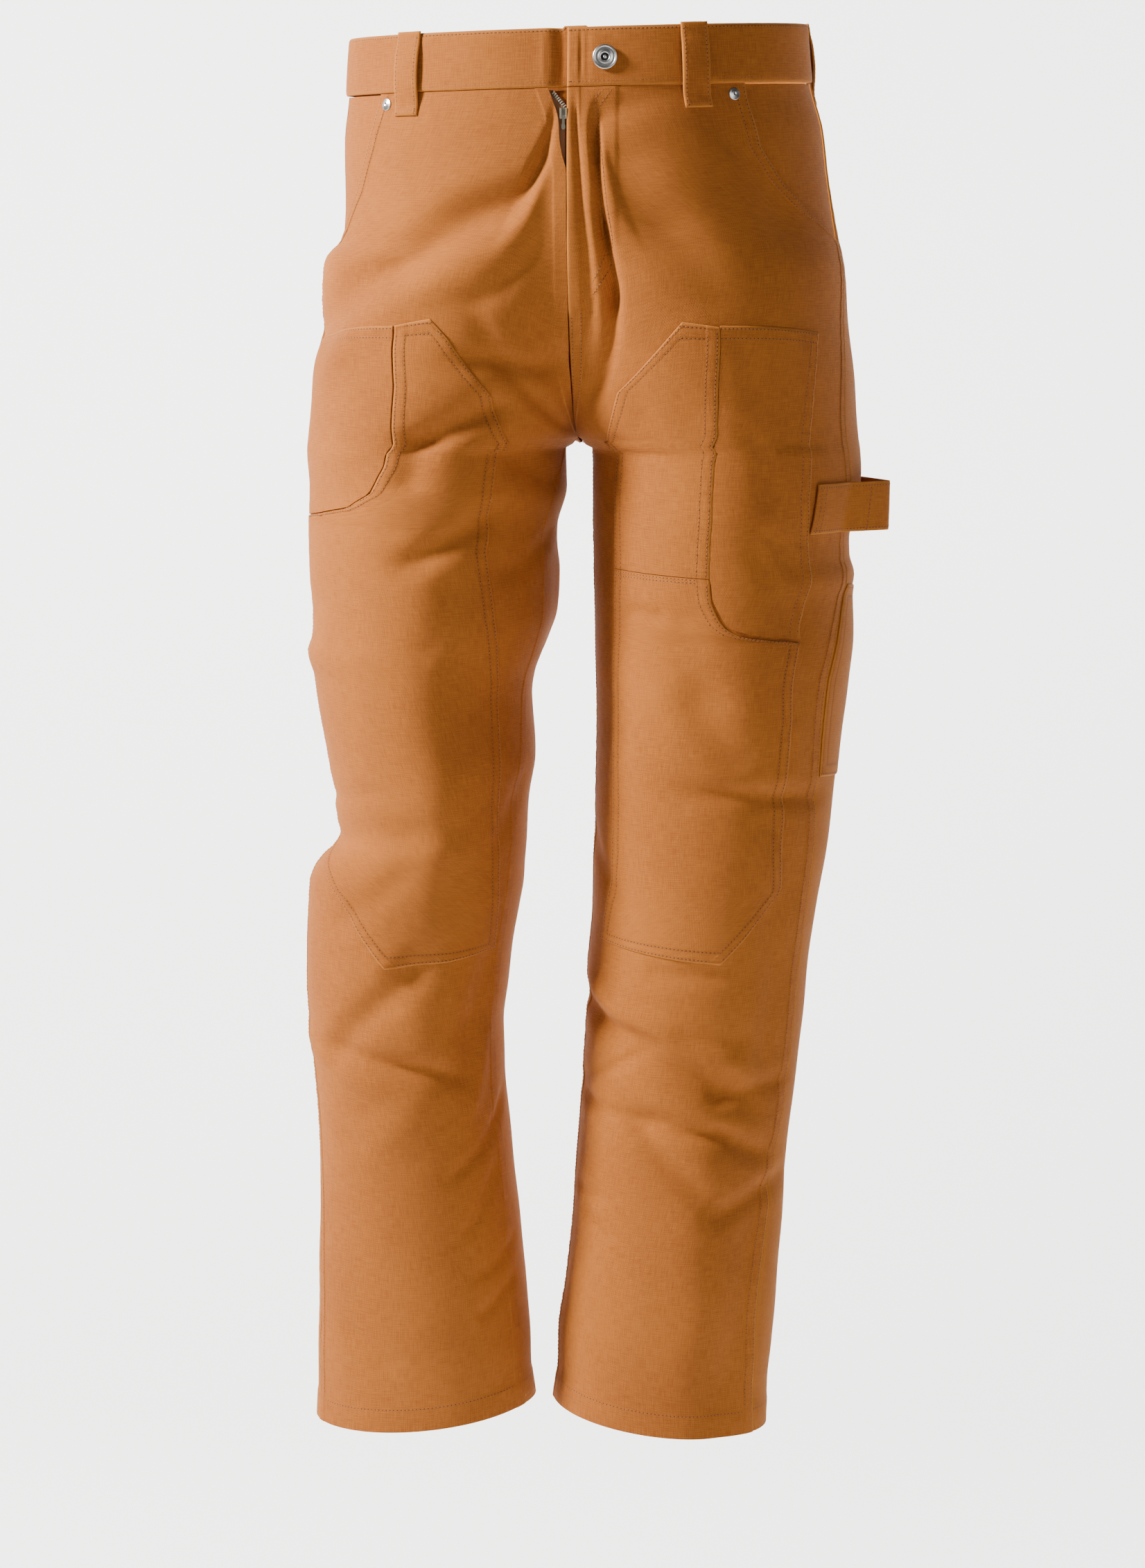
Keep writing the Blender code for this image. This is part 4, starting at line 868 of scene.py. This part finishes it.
BAND_WALL = 3.0
UNDERLAP = 38.0
UNDERLAP_SHIFT = -3.5
BAND_DOWN = np.array([0, 0.5, 1.2, 2.4, 4, 7, 12, 17, 22, 27, 32, 36, 38.4, 39.6, 40.6, 41.4, 41.8])


def band_stations():
    """Leg, s, side and shift from the wearer's left end round the back to the end of the underlap."""
    rows = [("left", s, "front", 0.0) for s in np.concatenate([
        np.linspace(centre_s("left", 0.3, 20), centre_s("left", 4, 20), 5), np.linspace(centre_s("left", 4, 20), 0.0, 46)[1:]])]
    rows += [("left", s, "back", 0.0) for s in np.linspace(3.96, 2, 50)]
    rows += [("right", s, "back", 0.0) for s in np.linspace(2.04, 4, 50)]
    rows += [("right", s, "front", 0.0) for s in np.linspace(0.04, centre_s("right", 15, 20), 34)]
    rows += [("right", centre_s("right", x, 20), "front", UNDERLAP_SHIFT * float(step((15 - x) / 12)))
             for x in np.linspace(14, 1, 12)]
    rows += [("left", centre_s("left", x, 20), "front", UNDERLAP_SHIFT) for x in np.linspace(1, UNDERLAP, 16)]
    return rows


def band_points(down, lift):
    """Grid of points on the band at rows `down` with `lift` per row and station, in metres."""
    stations = band_stations()
    grid = np.zeros((len(down), len(stations), 3))
    for leg in ("right", "left"):
        for side in ("front", "back"):
            pick = [k for k, row in enumerate(stations) if row[0] == leg and row[2] == side]
            s = np.array([stations[k][1] for k in pick])[None, :] + np.zeros((len(down), 1))
            shift = np.array([stations[k][3] for k in pick])[None, :]
            d = down[:, None] + np.zeros_like(s)
            raised = np.where(shift == UNDERLAP_SHIFT, 1.5 * (1 - d / BAND) * (s > 1.2), 0)
            at = bare(leg, s, d, side) + outward(leg, s, d + 1, side) * (lift[:, pick] + shift)[..., None]
            at[..., 2] += raised
            grid[:, pick] = at
    return grid * MM


def band_sag(stations, down):
    """Shallow waves between the belt loops, none at the two edges."""
    along = np.arange(len(stations)) * 0.35
    wave = 0.35 * np.sin(along) + 0.25 * np.sin(along * 2.3 + 1)
    return wave[None, :] * np.sin(np.pi * down / BAND)[:, None]


stations = band_stations()
edge = np.minimum(BAND_DOWN, BAND - 0.2 - BAND_DOWN)[:, None] + np.zeros((1, len(stations)))
ends = np.minimum(np.arange(len(stations)), np.arange(len(stations))[::-1]) * 0.9
edge = np.minimum(edge, ends[None, :] + 0.0)
swell = BAND_WALL - 1.3 * np.exp(-edge / 0.9) - 0.18 * np.exp(-((edge - 2.4) / 0.9) ** 2) + band_sag(stations, BAND_DOWN)
band_outer = band_points(BAND_DOWN, swell)
band_inner = band_points(BAND_DOWN, band_sag(stations, BAND_DOWN) * 1.0)
run = np.concatenate([[0], np.cumsum(np.linalg.norm(np.diff(band_outer[8], axis=0), axis=1))])
band_uv = np.stack(np.broadcast_arrays(BAND_DOWN[:, None] * MM, run[None, :]), -1)
# Paler band edges: partly wear, partly painted highlight.
band = walled("waistband_cloth", band_inner, band_outer, canvas, band_uv, np.exp(-edge / 1.2))
sew_in(band, "waistband", band_outer, run[-1] / MM, BAND)


def band_line(down, first=0, last=None, lift=0.0):
    """A stitch line along the band between two stations."""
    points = band_points(np.array([down]), np.full((1, len(stations)), BAND_WALL - 0.18 + lift)
                         + band_sag(stations, np.array([down])))[0]
    away = points * np.array([1, 1, 0])
    away /= np.linalg.norm(away, axis=1, keepdims=True)
    return points[first:last], away[first:last]


# Belt loops: folded strips of canvas, folded over the band's top edge and tacked below its seam

LOOPS = (("right", 0.568), ("left", 0.70), ("right", 3.72), ("left", 3.86), ("left", 2.0))
LOOP_WIDTH = 20.0
LOOP_WALL = 1.8
LOOP_LINE = ((-1.4, 3.35), (6, 3.8), (16, 5.4), (28, 5.8), (38, 4.9), (46, 3.2), (52, 1.8), (59, 1.55))
LOOP_ROWS = np.concatenate([[-1.4, -1.2], np.linspace(-0.5, 59, 40)])


def strip_grid(leg, centre, lift_line, width, columns, extra):
    """A narrow strip down a panel at s = centre; lift_line gives how far out it stands at each down."""
    side = "front" if centre < 2 else "back"
    near = np.array([20.0])
    rate = np.linalg.norm(bare(leg, np.array([centre + 0.05]), near, side)
                          - bare(leg, np.array([centre]), near, side)) / 0.05
    lift = smooth(LOOP_ROWS, *np.array(lift_line, float).T)
    grid = np.zeros((len(LOOP_ROWS), len(columns), 3))
    for k, share in enumerate(columns):
        owner, s = leg, centre + share * width / rate
        if centre == 2.0 and share < 0:
            owner, s = "right", 4 - s
        d = np.maximum(LOOP_ROWS, 0.0)
        line = np.full(len(d), s)
        out = lift + extra[:, k]
        at = bare(owner, line, d, side) + outward(owner, line, d + 1, side) * out[:, None]
        fold = fold_height(owner, line, d)
        at += outward(owner, line, d + 1, side) * fold[:, None]
        at[:, 2] += np.maximum(-LOOP_ROWS, 0) * 0.8
        grid[:, k] = at * MM
    return grid


LOOP_COLUMNS = np.array([-0.5, -0.48, -0.44, -0.36, -0.24, -0.08, 0.08, 0.24, 0.36, 0.44, 0.48, 0.5])
loop_edge = np.minimum((0.5 - np.abs(LOOP_COLUMNS))[None, :] * LOOP_WIDTH,
                       np.minimum(LOOP_ROWS + 1.4, 59 - LOOP_ROWS)[:, None])
loop_swell = LOOP_WALL + 0.25 - 1.0 * np.exp(-loop_edge / 0.8) - 0.15 * np.exp(-((loop_edge - 2.2) / 0.8) ** 2)
loop_lines = []
for number, (leg, centre) in enumerate(LOOPS):
    side = "front" if centre < 2 else "back"
    inner = strip_grid(leg, centre, LOOP_LINE, LOOP_WIDTH, LOOP_COLUMNS, np.zeros_like(loop_swell))
    outer = strip_grid(leg, centre, LOOP_LINE, LOOP_WIDTH, LOOP_COLUMNS, loop_swell)
    uv = np.stack(np.broadcast_arrays(LOOP_COLUMNS[None, :] * LOOP_WIDTH * MM, LOOP_ROWS[:, None] * MM), -1)
    # Paler loop edges: partly wear, partly painted highlight.
    loop = walled("belt_loop_%d_cloth" % (number + 1), inner, outer, canvas, uv, np.exp(-loop_edge / 1.2))
    sew_in(loop, "belt_loop_%d" % (number + 1), outer, LOOP_WIDTH, 62)
    face = strip_grid(leg, centre, LOOP_LINE, LOOP_WIDTH, np.array([-0.385, 0.385]), np.full((len(LOOP_ROWS), 2), LOOP_WALL + 0.1))
    away = np.broadcast_to(outward(leg, np.array([centre]), np.array([20.0]), side), (len(LOOP_ROWS) - 4, 3))
    loop_lines += [(face[3:-1, 0], away), (face[3:-1, 1], away)]
    bars = strip_grid(leg, centre, LOOP_LINE, LOOP_WIDTH, np.linspace(-0.42, 0.42, 9), np.full((len(LOOP_ROWS), 9), LOOP_WALL + 0.1))
    for row in (-3, -4, 5):
        loop_lines.append((bars[row], np.broadcast_to(away[0], (9, 3))))

# Hammer loop: a folded canvas strap from the edge of the thigh pocket, out and back to the back panel

STRAP_TOP = 329.0
STRAP_HEIGHT = 36.0
STRAP_REACH = 234.0
STRAP_ROWS = np.array([0, 0.6, 1.4, 2.6, 5, 10, 15, 18, 21, 26, 31, 33.4, 34.6, 35.4, 36.0])


def strap_points():
    grid = []
    for down in STRAP_ROWS + STRAP_TOP:
        d = np.array([down])
        first = [cloth("left", np.array([s]), d, np.array([3.0 + 0.4 * (s < 0.4)]), "front")[0]
                 for s in np.linspace(0.535, 0.3, 9)]
        last = [cloth("left", np.array([s]), d, np.array([3.4]), "back")[0] for s in np.linspace(3.66, 3.46, 8)]
        a, b, tip = first[-1], last[0], STRAP_REACH * MM
        droop = 0.0012 * (down - STRAP_TOP) / STRAP_HEIGHT
        free = [(a[0] * 0.6 + 0.4 * tip, a[1] + 0.010), (tip - 0.003, a[1] + 0.026), (tip - droop, a[1] + 0.031),
                (tip - 0.002, a[1] + 0.036), (b[0] * 0.5 + 0.5 * tip, (a[1] + 0.036 + b[1]) / 2 + 0.004)]
        knots = np.array([*first, *[(x, y, a[2]) for x, y in free], *last])
        knots[:, 2] = a[2]
        t = np.concatenate([[0], np.cumsum(np.linalg.norm(np.diff(knots, axis=0), axis=1))])
        at = np.linspace(0, 1, 90)
        line = np.stack([np.interp(at * t[-1], t, knots[:, k]) for k in range(3)], -1)
        for _ in range(2):
            line[1:-1] = (line[:-2] + 2 * line[1:-1] + line[2:]) / 4
        grid.append(line)
    return np.array(grid)


strap = strap_points()
strap_out = np.cross(np.gradient(strap, axis=1), np.gradient(strap, axis=0))
strap_out /= np.linalg.norm(strap_out, axis=-1, keepdims=True)
strap_out *= -np.sign(strap_out[7, 8, 1])
strap_edge = np.minimum(STRAP_ROWS, STRAP_ROWS[::-1])[:, None] + np.zeros((1, strap.shape[1]))
strap_half = 0.75 - 0.35 * np.exp(-strap_edge / 0.8)
run = np.concatenate([[0], np.cumsum(np.linalg.norm(np.diff(strap[7], axis=0), axis=1))])
strap_uv = np.stack(np.broadcast_arrays(STRAP_ROWS[:, None] * MM, run[None, :]), -1)
# Paler strap edges: partly wear, partly painted highlight.
hammer = walled("hammer_loop_cloth", strap - strap_out * strap_half[..., None] * MM,
                strap + strap_out * strap_half[..., None] * MM, canvas, strap_uv, np.exp(-strap_edge / 1.2))
sew_in(hammer, "hammer_loop", strap, run[-1] / MM, STRAP_HEIGHT)
strap_lines = [(strap[row] + strap_out[row] * 0.0008, strap_out[row]) for row in (3, 11)]
strap_lines += [((strap + strap_out * 0.0008)[2:-2, c], strap_out[2:-2, c]) for c in (2, 4, 26)]
sew_lines = {"band": [band_line(d) for d in (2.4, 38.4)], "loops": loop_lines, "strap": strap_lines}

# Fly: woven tapes under the two front edges, a canvas shield behind them, and the metal zip

tape_brown, tape_tree, _ = shader_of("tape_brown", (0.20, 0.085, 0.032), 0.8)
zip_metal, _, zip_shader = shader_of("zip_metal", (0.60, 0.54, 0.42), 0.34, 1.0)


def centre_rows(leg, rows):
    """Rows (outer x, inner x, down) about the centre plane as rows of a front panel."""
    sign = SIDE[leg]
    return layout(leg, "front", [(centre_share(sign * a, d), d, centre_share(sign * b, d), d) for a, b, d in rows])


TAPE_RIGHT = centre_rows("right", ((19, 9.8, 43.4), (15.3, 0.8, 53.5), (14, 0.8, 60), (13, 0.8, 96)))
TAPE_LEFT = centre_rows("left", ((11, 0.8, 43.4), (11, 0.8, 96)))
for leg, tape in (("right", TAPE_RIGHT), ("left", TAPE_LEFT)):
    made = cut_piece("zip_tape_" + leg + "_weave", "zip_tape_" + leg, tape, -1.9, 1.0, tape_brown,
                     ())


def near_centre(x, down, out):
    """Points at distances `x` from the centre plane on the uncreased front, moved out, in metres."""
    x, down, out = np.broadcast_arrays(np.asarray(x, float), np.asarray(down, float), np.asarray(out, float))
    points = np.zeros(x.shape + (3,))
    for k in np.ndindex(x.shape):
        leg = "left" if x[k] >= 0 else "right"
        s = np.array([centre_s(leg, abs(x[k]), down[k])])
        d = np.array([down[k]])
        points[k] = (bare(leg, s, d, "front")[0] + outward(leg, s, d, "front")[0] * out[k]) * MM
    return points


shield_x, shield_d = np.linspace(-10, 25, 19), np.linspace(43.6, 150, 30)
shield_out = -3.5 - 4.4 * step(shield_x / 8) - 3.0 * step((-shield_x - 3) / 6)
shield = [near_centre(shield_x[None], shield_d[:, None], shield_out[None] + wall) for wall in (0.0, 1.2)]
shield_uv = np.stack(np.broadcast_arrays(shield_x[None] * MM, shield_d[:, None] * MM), -1)
made = walled("fly_shield_cloth", shield[0], shield[1], canvas, shield_uv, np.zeros(shield_uv.shape[:2]))
sew_in(made, "fly_shield", shield[1], 37, 106.4)


def boxes(name, frames, size, material):
    """Small bevelled blocks at `frames` (centre, along, across directions), all of one size in mm."""
    along, across_, tall = (v / 2 * MM for v in size)
    corner = np.array([(a, b, c) for a in (-1, 1) for b in (-1, 1) for c in (-1, 1)], float)
    quads = [(0, 1, 3, 2), (4, 6, 7, 5), (0, 4, 5, 1), (2, 3, 7, 6), (0, 2, 6, 4), (1, 5, 7, 3)]
    verts, faces = [], []
    for n, (centre, ahead, beside) in enumerate(frames):
        up = np.cross(ahead, beside)
        verts.append(centre + corner[:, :1] * ahead * along + corner[:, 1:2] * beside * across_ + corner[:, 2:] * up * tall)
        faces += [tuple(8 * n + i for i in quad) for quad in quads]
    made = put(name, np.concatenate(verts), faces, material, False)
    bevel = made.modifiers.new("bevel", "BEVEL")
    bevel.width = min(size) * 0.22 * MM
    bevel.segments = 2
    return made


def unit(v):
    return v / np.linalg.norm(v)


teeth = []
for (x0, d0), (x1, d1), count in (((-10.2, 44.5), (-0.9, 54.0), 8),):
    a, b = near_centre(x0, d0, -0.4), near_centre(x1, d1, -0.4)
    ahead = unit(b - a)
    for k in range(count):
        teeth.append((a + (b - a) * (k + 0.5) / count, unit(np.cross(ahead, [0, -1, 0])), ahead))
chain = boxes("zip_teeth", teeth, (2.6, 1.0, 1.3), zip_metal)
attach(chain, "trousers")

ZIP_X, SLIDER_TOP, SLIDER_LENGTH, TAB_HINGE, TAB_OUT = -2.4, 54.0, 7.5, 59.5, 1.9
seat = near_centre(ZIP_X, SLIDER_TOP + SLIDER_LENGTH / 2, 0.0)
AHEAD, BESIDE = np.array([0, 0, -1.0]), np.array([1.0, 0, 0])


def slider_part(name, x, y, z, size):
    made = boxes(name, [(seat + np.array([x, y, z]) * MM, AHEAD, BESIDE)], size, zip_metal)
    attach(made, "trousers")
    return made


base = slider_part("zip_slider_base", 0, -0.2, 0, (SLIDER_LENGTH, 5.0, 1.6))
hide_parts("zip_slider")
slider_part("zip_slider_left", 2.05, -1.6, 0, (SLIDER_LENGTH, 0.9, 2.0))
slider_part("zip_slider_right", -2.05, -1.6, 0, (SLIDER_LENGTH, 0.9, 2.0))
pin_z = SLIDER_TOP + SLIDER_LENGTH / 2 - TAB_HINGE
slider_part("zip_slider_pin", 0, -TAB_OUT, pin_z, (0.6, 3.6, 0.6))

tab_outline = ((-0.5, 0.6), (0.5, 0.6), (0.62, -6.0), (1, -7.0), (1, -9.0), (0.6, -9.8), (-0.6, -9.8), (-1, -9.0),
               (-1, -7.0), (-0.62, -6.0))
hinge = seat + np.array([0, -TAB_OUT, pin_z]) * MM
tab_points = [hinge + np.array([x * 1.1, y * 0.4, z * 0.95]) * MM for y in (-1, 1) for x, z in tab_outline]
tab_faces = [list(range(10)), list(range(19, 9, -1))] + [[k, (k + 1) % 10, 10 + (k + 1) % 10, 10 + k] for k in range(10)]
tab = put("pull_tab_metal", tab_points, tab_faces, zip_metal, False)
tab_bevel = tab.modifiers.new("bevel", "BEVEL")
tab_bevel.width = 0.00018
tab_bevel.segments = 2
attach(tab, "pull_tab")
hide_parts("pull_tab")

# Waist button and two pocket rivets: nickel-plated caps, pressed through the canvas

nickel, nickel_tree, nickel_shader = shader_of("nickel", (0.66, 0.645, 0.62), 0.3, 1.0)


def lathe(name, node, at, axis, profile, segments=64, material=None):
    """A shape turned about its axis: profile rows are radius and height above the seat."""
    spin = Vector(axis).to_track_quat("Z", "Y").to_matrix()
    spin = np.array(spin)
    radius, height = np.array(profile, float).T
    a = np.linspace(0, 2 * np.pi, segments, endpoint=False)
    ring = np.stack([radius[:, None] * np.cos(a), radius[:, None] * np.sin(a), height[:, None] + 0 * a], -1) * MM
    verts = at + ring.reshape(-1, 3) @ spin.T
    n = len(radius)
    r, c = np.meshgrid(np.arange(n - 1), np.arange(segments), indexing="ij")
    a0, b0 = (r * segments + c).ravel(), (r * segments + (c + 1) % segments).ravel()
    faces = np.stack([a0, b0, b0 + segments, a0 + segments], 1).tolist()
    faces += [list(range(segments))[::-1], list(range((n - 1) * segments, n * segments))]
    made = put(name, verts, faces, material or nickel)
    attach(made, "trousers")
    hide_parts(node)
    return made


BUTTON_AT = (27.0, 22.0)
button_seat = near_centre(BUTTON_AT[0], BUTTON_AT[1], BAND_WALL + GAP)
button_axis = outward("left", np.array([centre_s("left", *BUTTON_AT)]), np.array([BUTTON_AT[1]]), "front")[0]
BUTTON_PROFILE = ((3.2, 0), (3.2, 0.6), (7.2, 0.8), (8.3, 1.0), (8.7, 1.3), (8.8, 1.7), (8.65, 2.1), (8.3, 2.4), (7.9, 2.5),
                  (7.5, 2.42), (7.2, 2.2), (6.9, 2.05), (6.4, 2.02), (5.6, 2.1), (4.9, 2.25), (4.5, 2.45), (4.1, 2.6),
                  (3.7, 2.6), (3.2, 2.45), (2.9, 2.2), (2.75, 1.6), (2.7, 0.9), (1.3, 0.85), (1.2, 1.5), (0.9, 1.8), (0.2, 1.85))
lathe("button_cap", "button", button_seat, button_axis, BUTTON_PROFILE)
# Painted shade: a near-black ring laid in the button's groove between rim and stud, where the recess is shaded.
button_groove_shade, _, _ = shader_of("button_groove_shade", (0.012, 0.011, 0.010), 0.6)
lathe("button_groove_shade_ring", "button", button_seat, button_axis, ((2.68, 0.6), (2.68, 1.0), (1.32, 1.0), (1.32, 0.6)), 48, button_groove_shade)
RIVETS = {"right": (0.235, 50.0), "left": (0.275, 50.0)}
for leg, (share, down) in RIVETS.items():
    d = np.array([down])
    s = seam_s(leg, "front", np.array([share]), d)
    at = cloth(leg, s, d, WALL + 0.12, "front")[0]
    axis = outward(leg, s, d, "front")[0]
    lathe("rivet_%s_cap" % leg, "rivet_" + leg, at, axis, (
        (4.4, 0), (4.4, 0.35), (4.25, 0.6), (3.9, 0.75), (3.3, 0.85), (2.7, 1.0), (2.2, 1.25), (1.6, 1.45), (1.0, 1.4),
        (0.7, 1.25), (0.2, 1.2)), 40)

# Stitching on the cut pieces: twin rows on edges and seams, one row at each hem

ROWS_IN = (2.2, 9.0)


def on_top(inset, lift=0.0, felled=False, raised=False, grooved=False):
    """How far out a stitch row lies: the piece's outer face, thickened near doubled edges."""
    return (lift + WALL - GROOVE * grooved + 0.5 * felled * float(step((10.2 - inset) / 1.4))
            + 0.35 * raised * float(step((10.4 - inset) / 1.8)))


def curve_rows(leg, points, lift):
    """A line through (distance from the centre plane, down) points on a front panel."""
    return traced(leg, "front", [(centre_share(SIDE[leg] * x, d), d) for x, d in points], lift)


seam_rows = []
for leg in ("right", "left"):
    front, back = fronts[leg], backs[leg]
    total = front["v"][-1]
    join = float(np.interp(SCOOP[leg][-1][1], front["rows"][:, 1], front["v"])) / total
    for inset in ROWS_IN:
        seam_rows.append(row_beside(front, inset, on_top(inset, felled=True), 0.0, join - 0.002))
        seam_rows.append(row_beside(front, inset, on_top(inset, felled=True), join + 0.004, 0.998))
        inseam = on_top(inset, felled=leg == "left")
        seam_rows.append(row_beside(front, inset, inseam, 0.262, 0.998, True))
    for piece in (front, back):
        seam_rows.append(row_along(piece, 18, WALL + 0.4, 0.002, 0.998, from_end=True))
for inset in ROWS_IN:
    seam_rows.append(row_beside(fronts["left"], inset, on_top(inset, felled=True), 0.128, 0.25, True))
    seam_rows.append(row_beside(backs["left"], inset, on_top(inset), 0.0, 0.24))
turn = np.radians(np.linspace(0, 86, 14))
for width, foot in ((32.2, 32.0), (26.4, 26.0)):
    path = [(width, 44)] + [(width * math.cos(a) + 0.5, 140 + foot * math.sin(a)) for a in turn]
    seam_rows.append(curve_rows("left", path, WALL + 0.72))
for piece, lifted in ((RIGHT_PATCH, LEVEL_ONE), (LEFT_UPPER, LEVEL_ONE), (LEFT_LOWER, LEVEL_ONE)):
    for inset in ROWS_IN:
        lift = on_top(inset, lifted, raised=False, grooved=True)
        seam_rows.append(row_beside(piece, inset, lift, 0.012, 0.99, True))
        seam_rows.append(row_beside(piece, inset, on_top(inset, lifted, raised=True, grooved=True), 0.012, 0.99))
for piece in (RIGHT_PATCH, LEFT_LOWER):
    for inset in ROWS_IN:
        seam_rows.append(row_along(piece, inset, on_top(inset, LEVEL_ONE, grooved=True), from_end=True))
for inset in ROWS_IN:
    top = on_top(inset, LEVEL_ONE, grooved=True)
    seam_rows.append(row_along(RIGHT_PATCH, inset, top, 0.06, 0.97))
    seam_rows.append(row_along(LEFT_UPPER, inset, top, 0.06, 0.97))
    seam_rows.append(row_along(RIGHT_INLAY, inset, top + GROOVE - 0.3))
    seam_rows.append(row_along(LEFT_POCKET, inset, top + GROOVE - 0.3))
    seam_rows.append(row_beside(LEFT_POCKET, inset, top + GROOVE - 0.3, 0.01, 0.99))
    seam_rows.append(row_beside(TOOL, inset, top, 0.01, 0.99))
    seam_rows.append(row_along(TOOL, inset, top))
    seam_rows.append(row_along(TOOL, inset, top, from_end=True))
for inset in (1.6, 4.4):
    seam_rows.append(row_along(LEFT_LOWER, inset, on_top(inset, LEVEL_ONE), 0.02, 0.99))
seam_rows.append(row_along(LEFT_UPPER, 2.2, on_top(2.2, LEVEL_ONE, grooved=True), 0.02, 0.99, True))
sewn("stitches_panels", seam_rows)
sewn("stitches_band", sew_lines["band"] + sew_lines["loops"] + sew_lines["strap"])
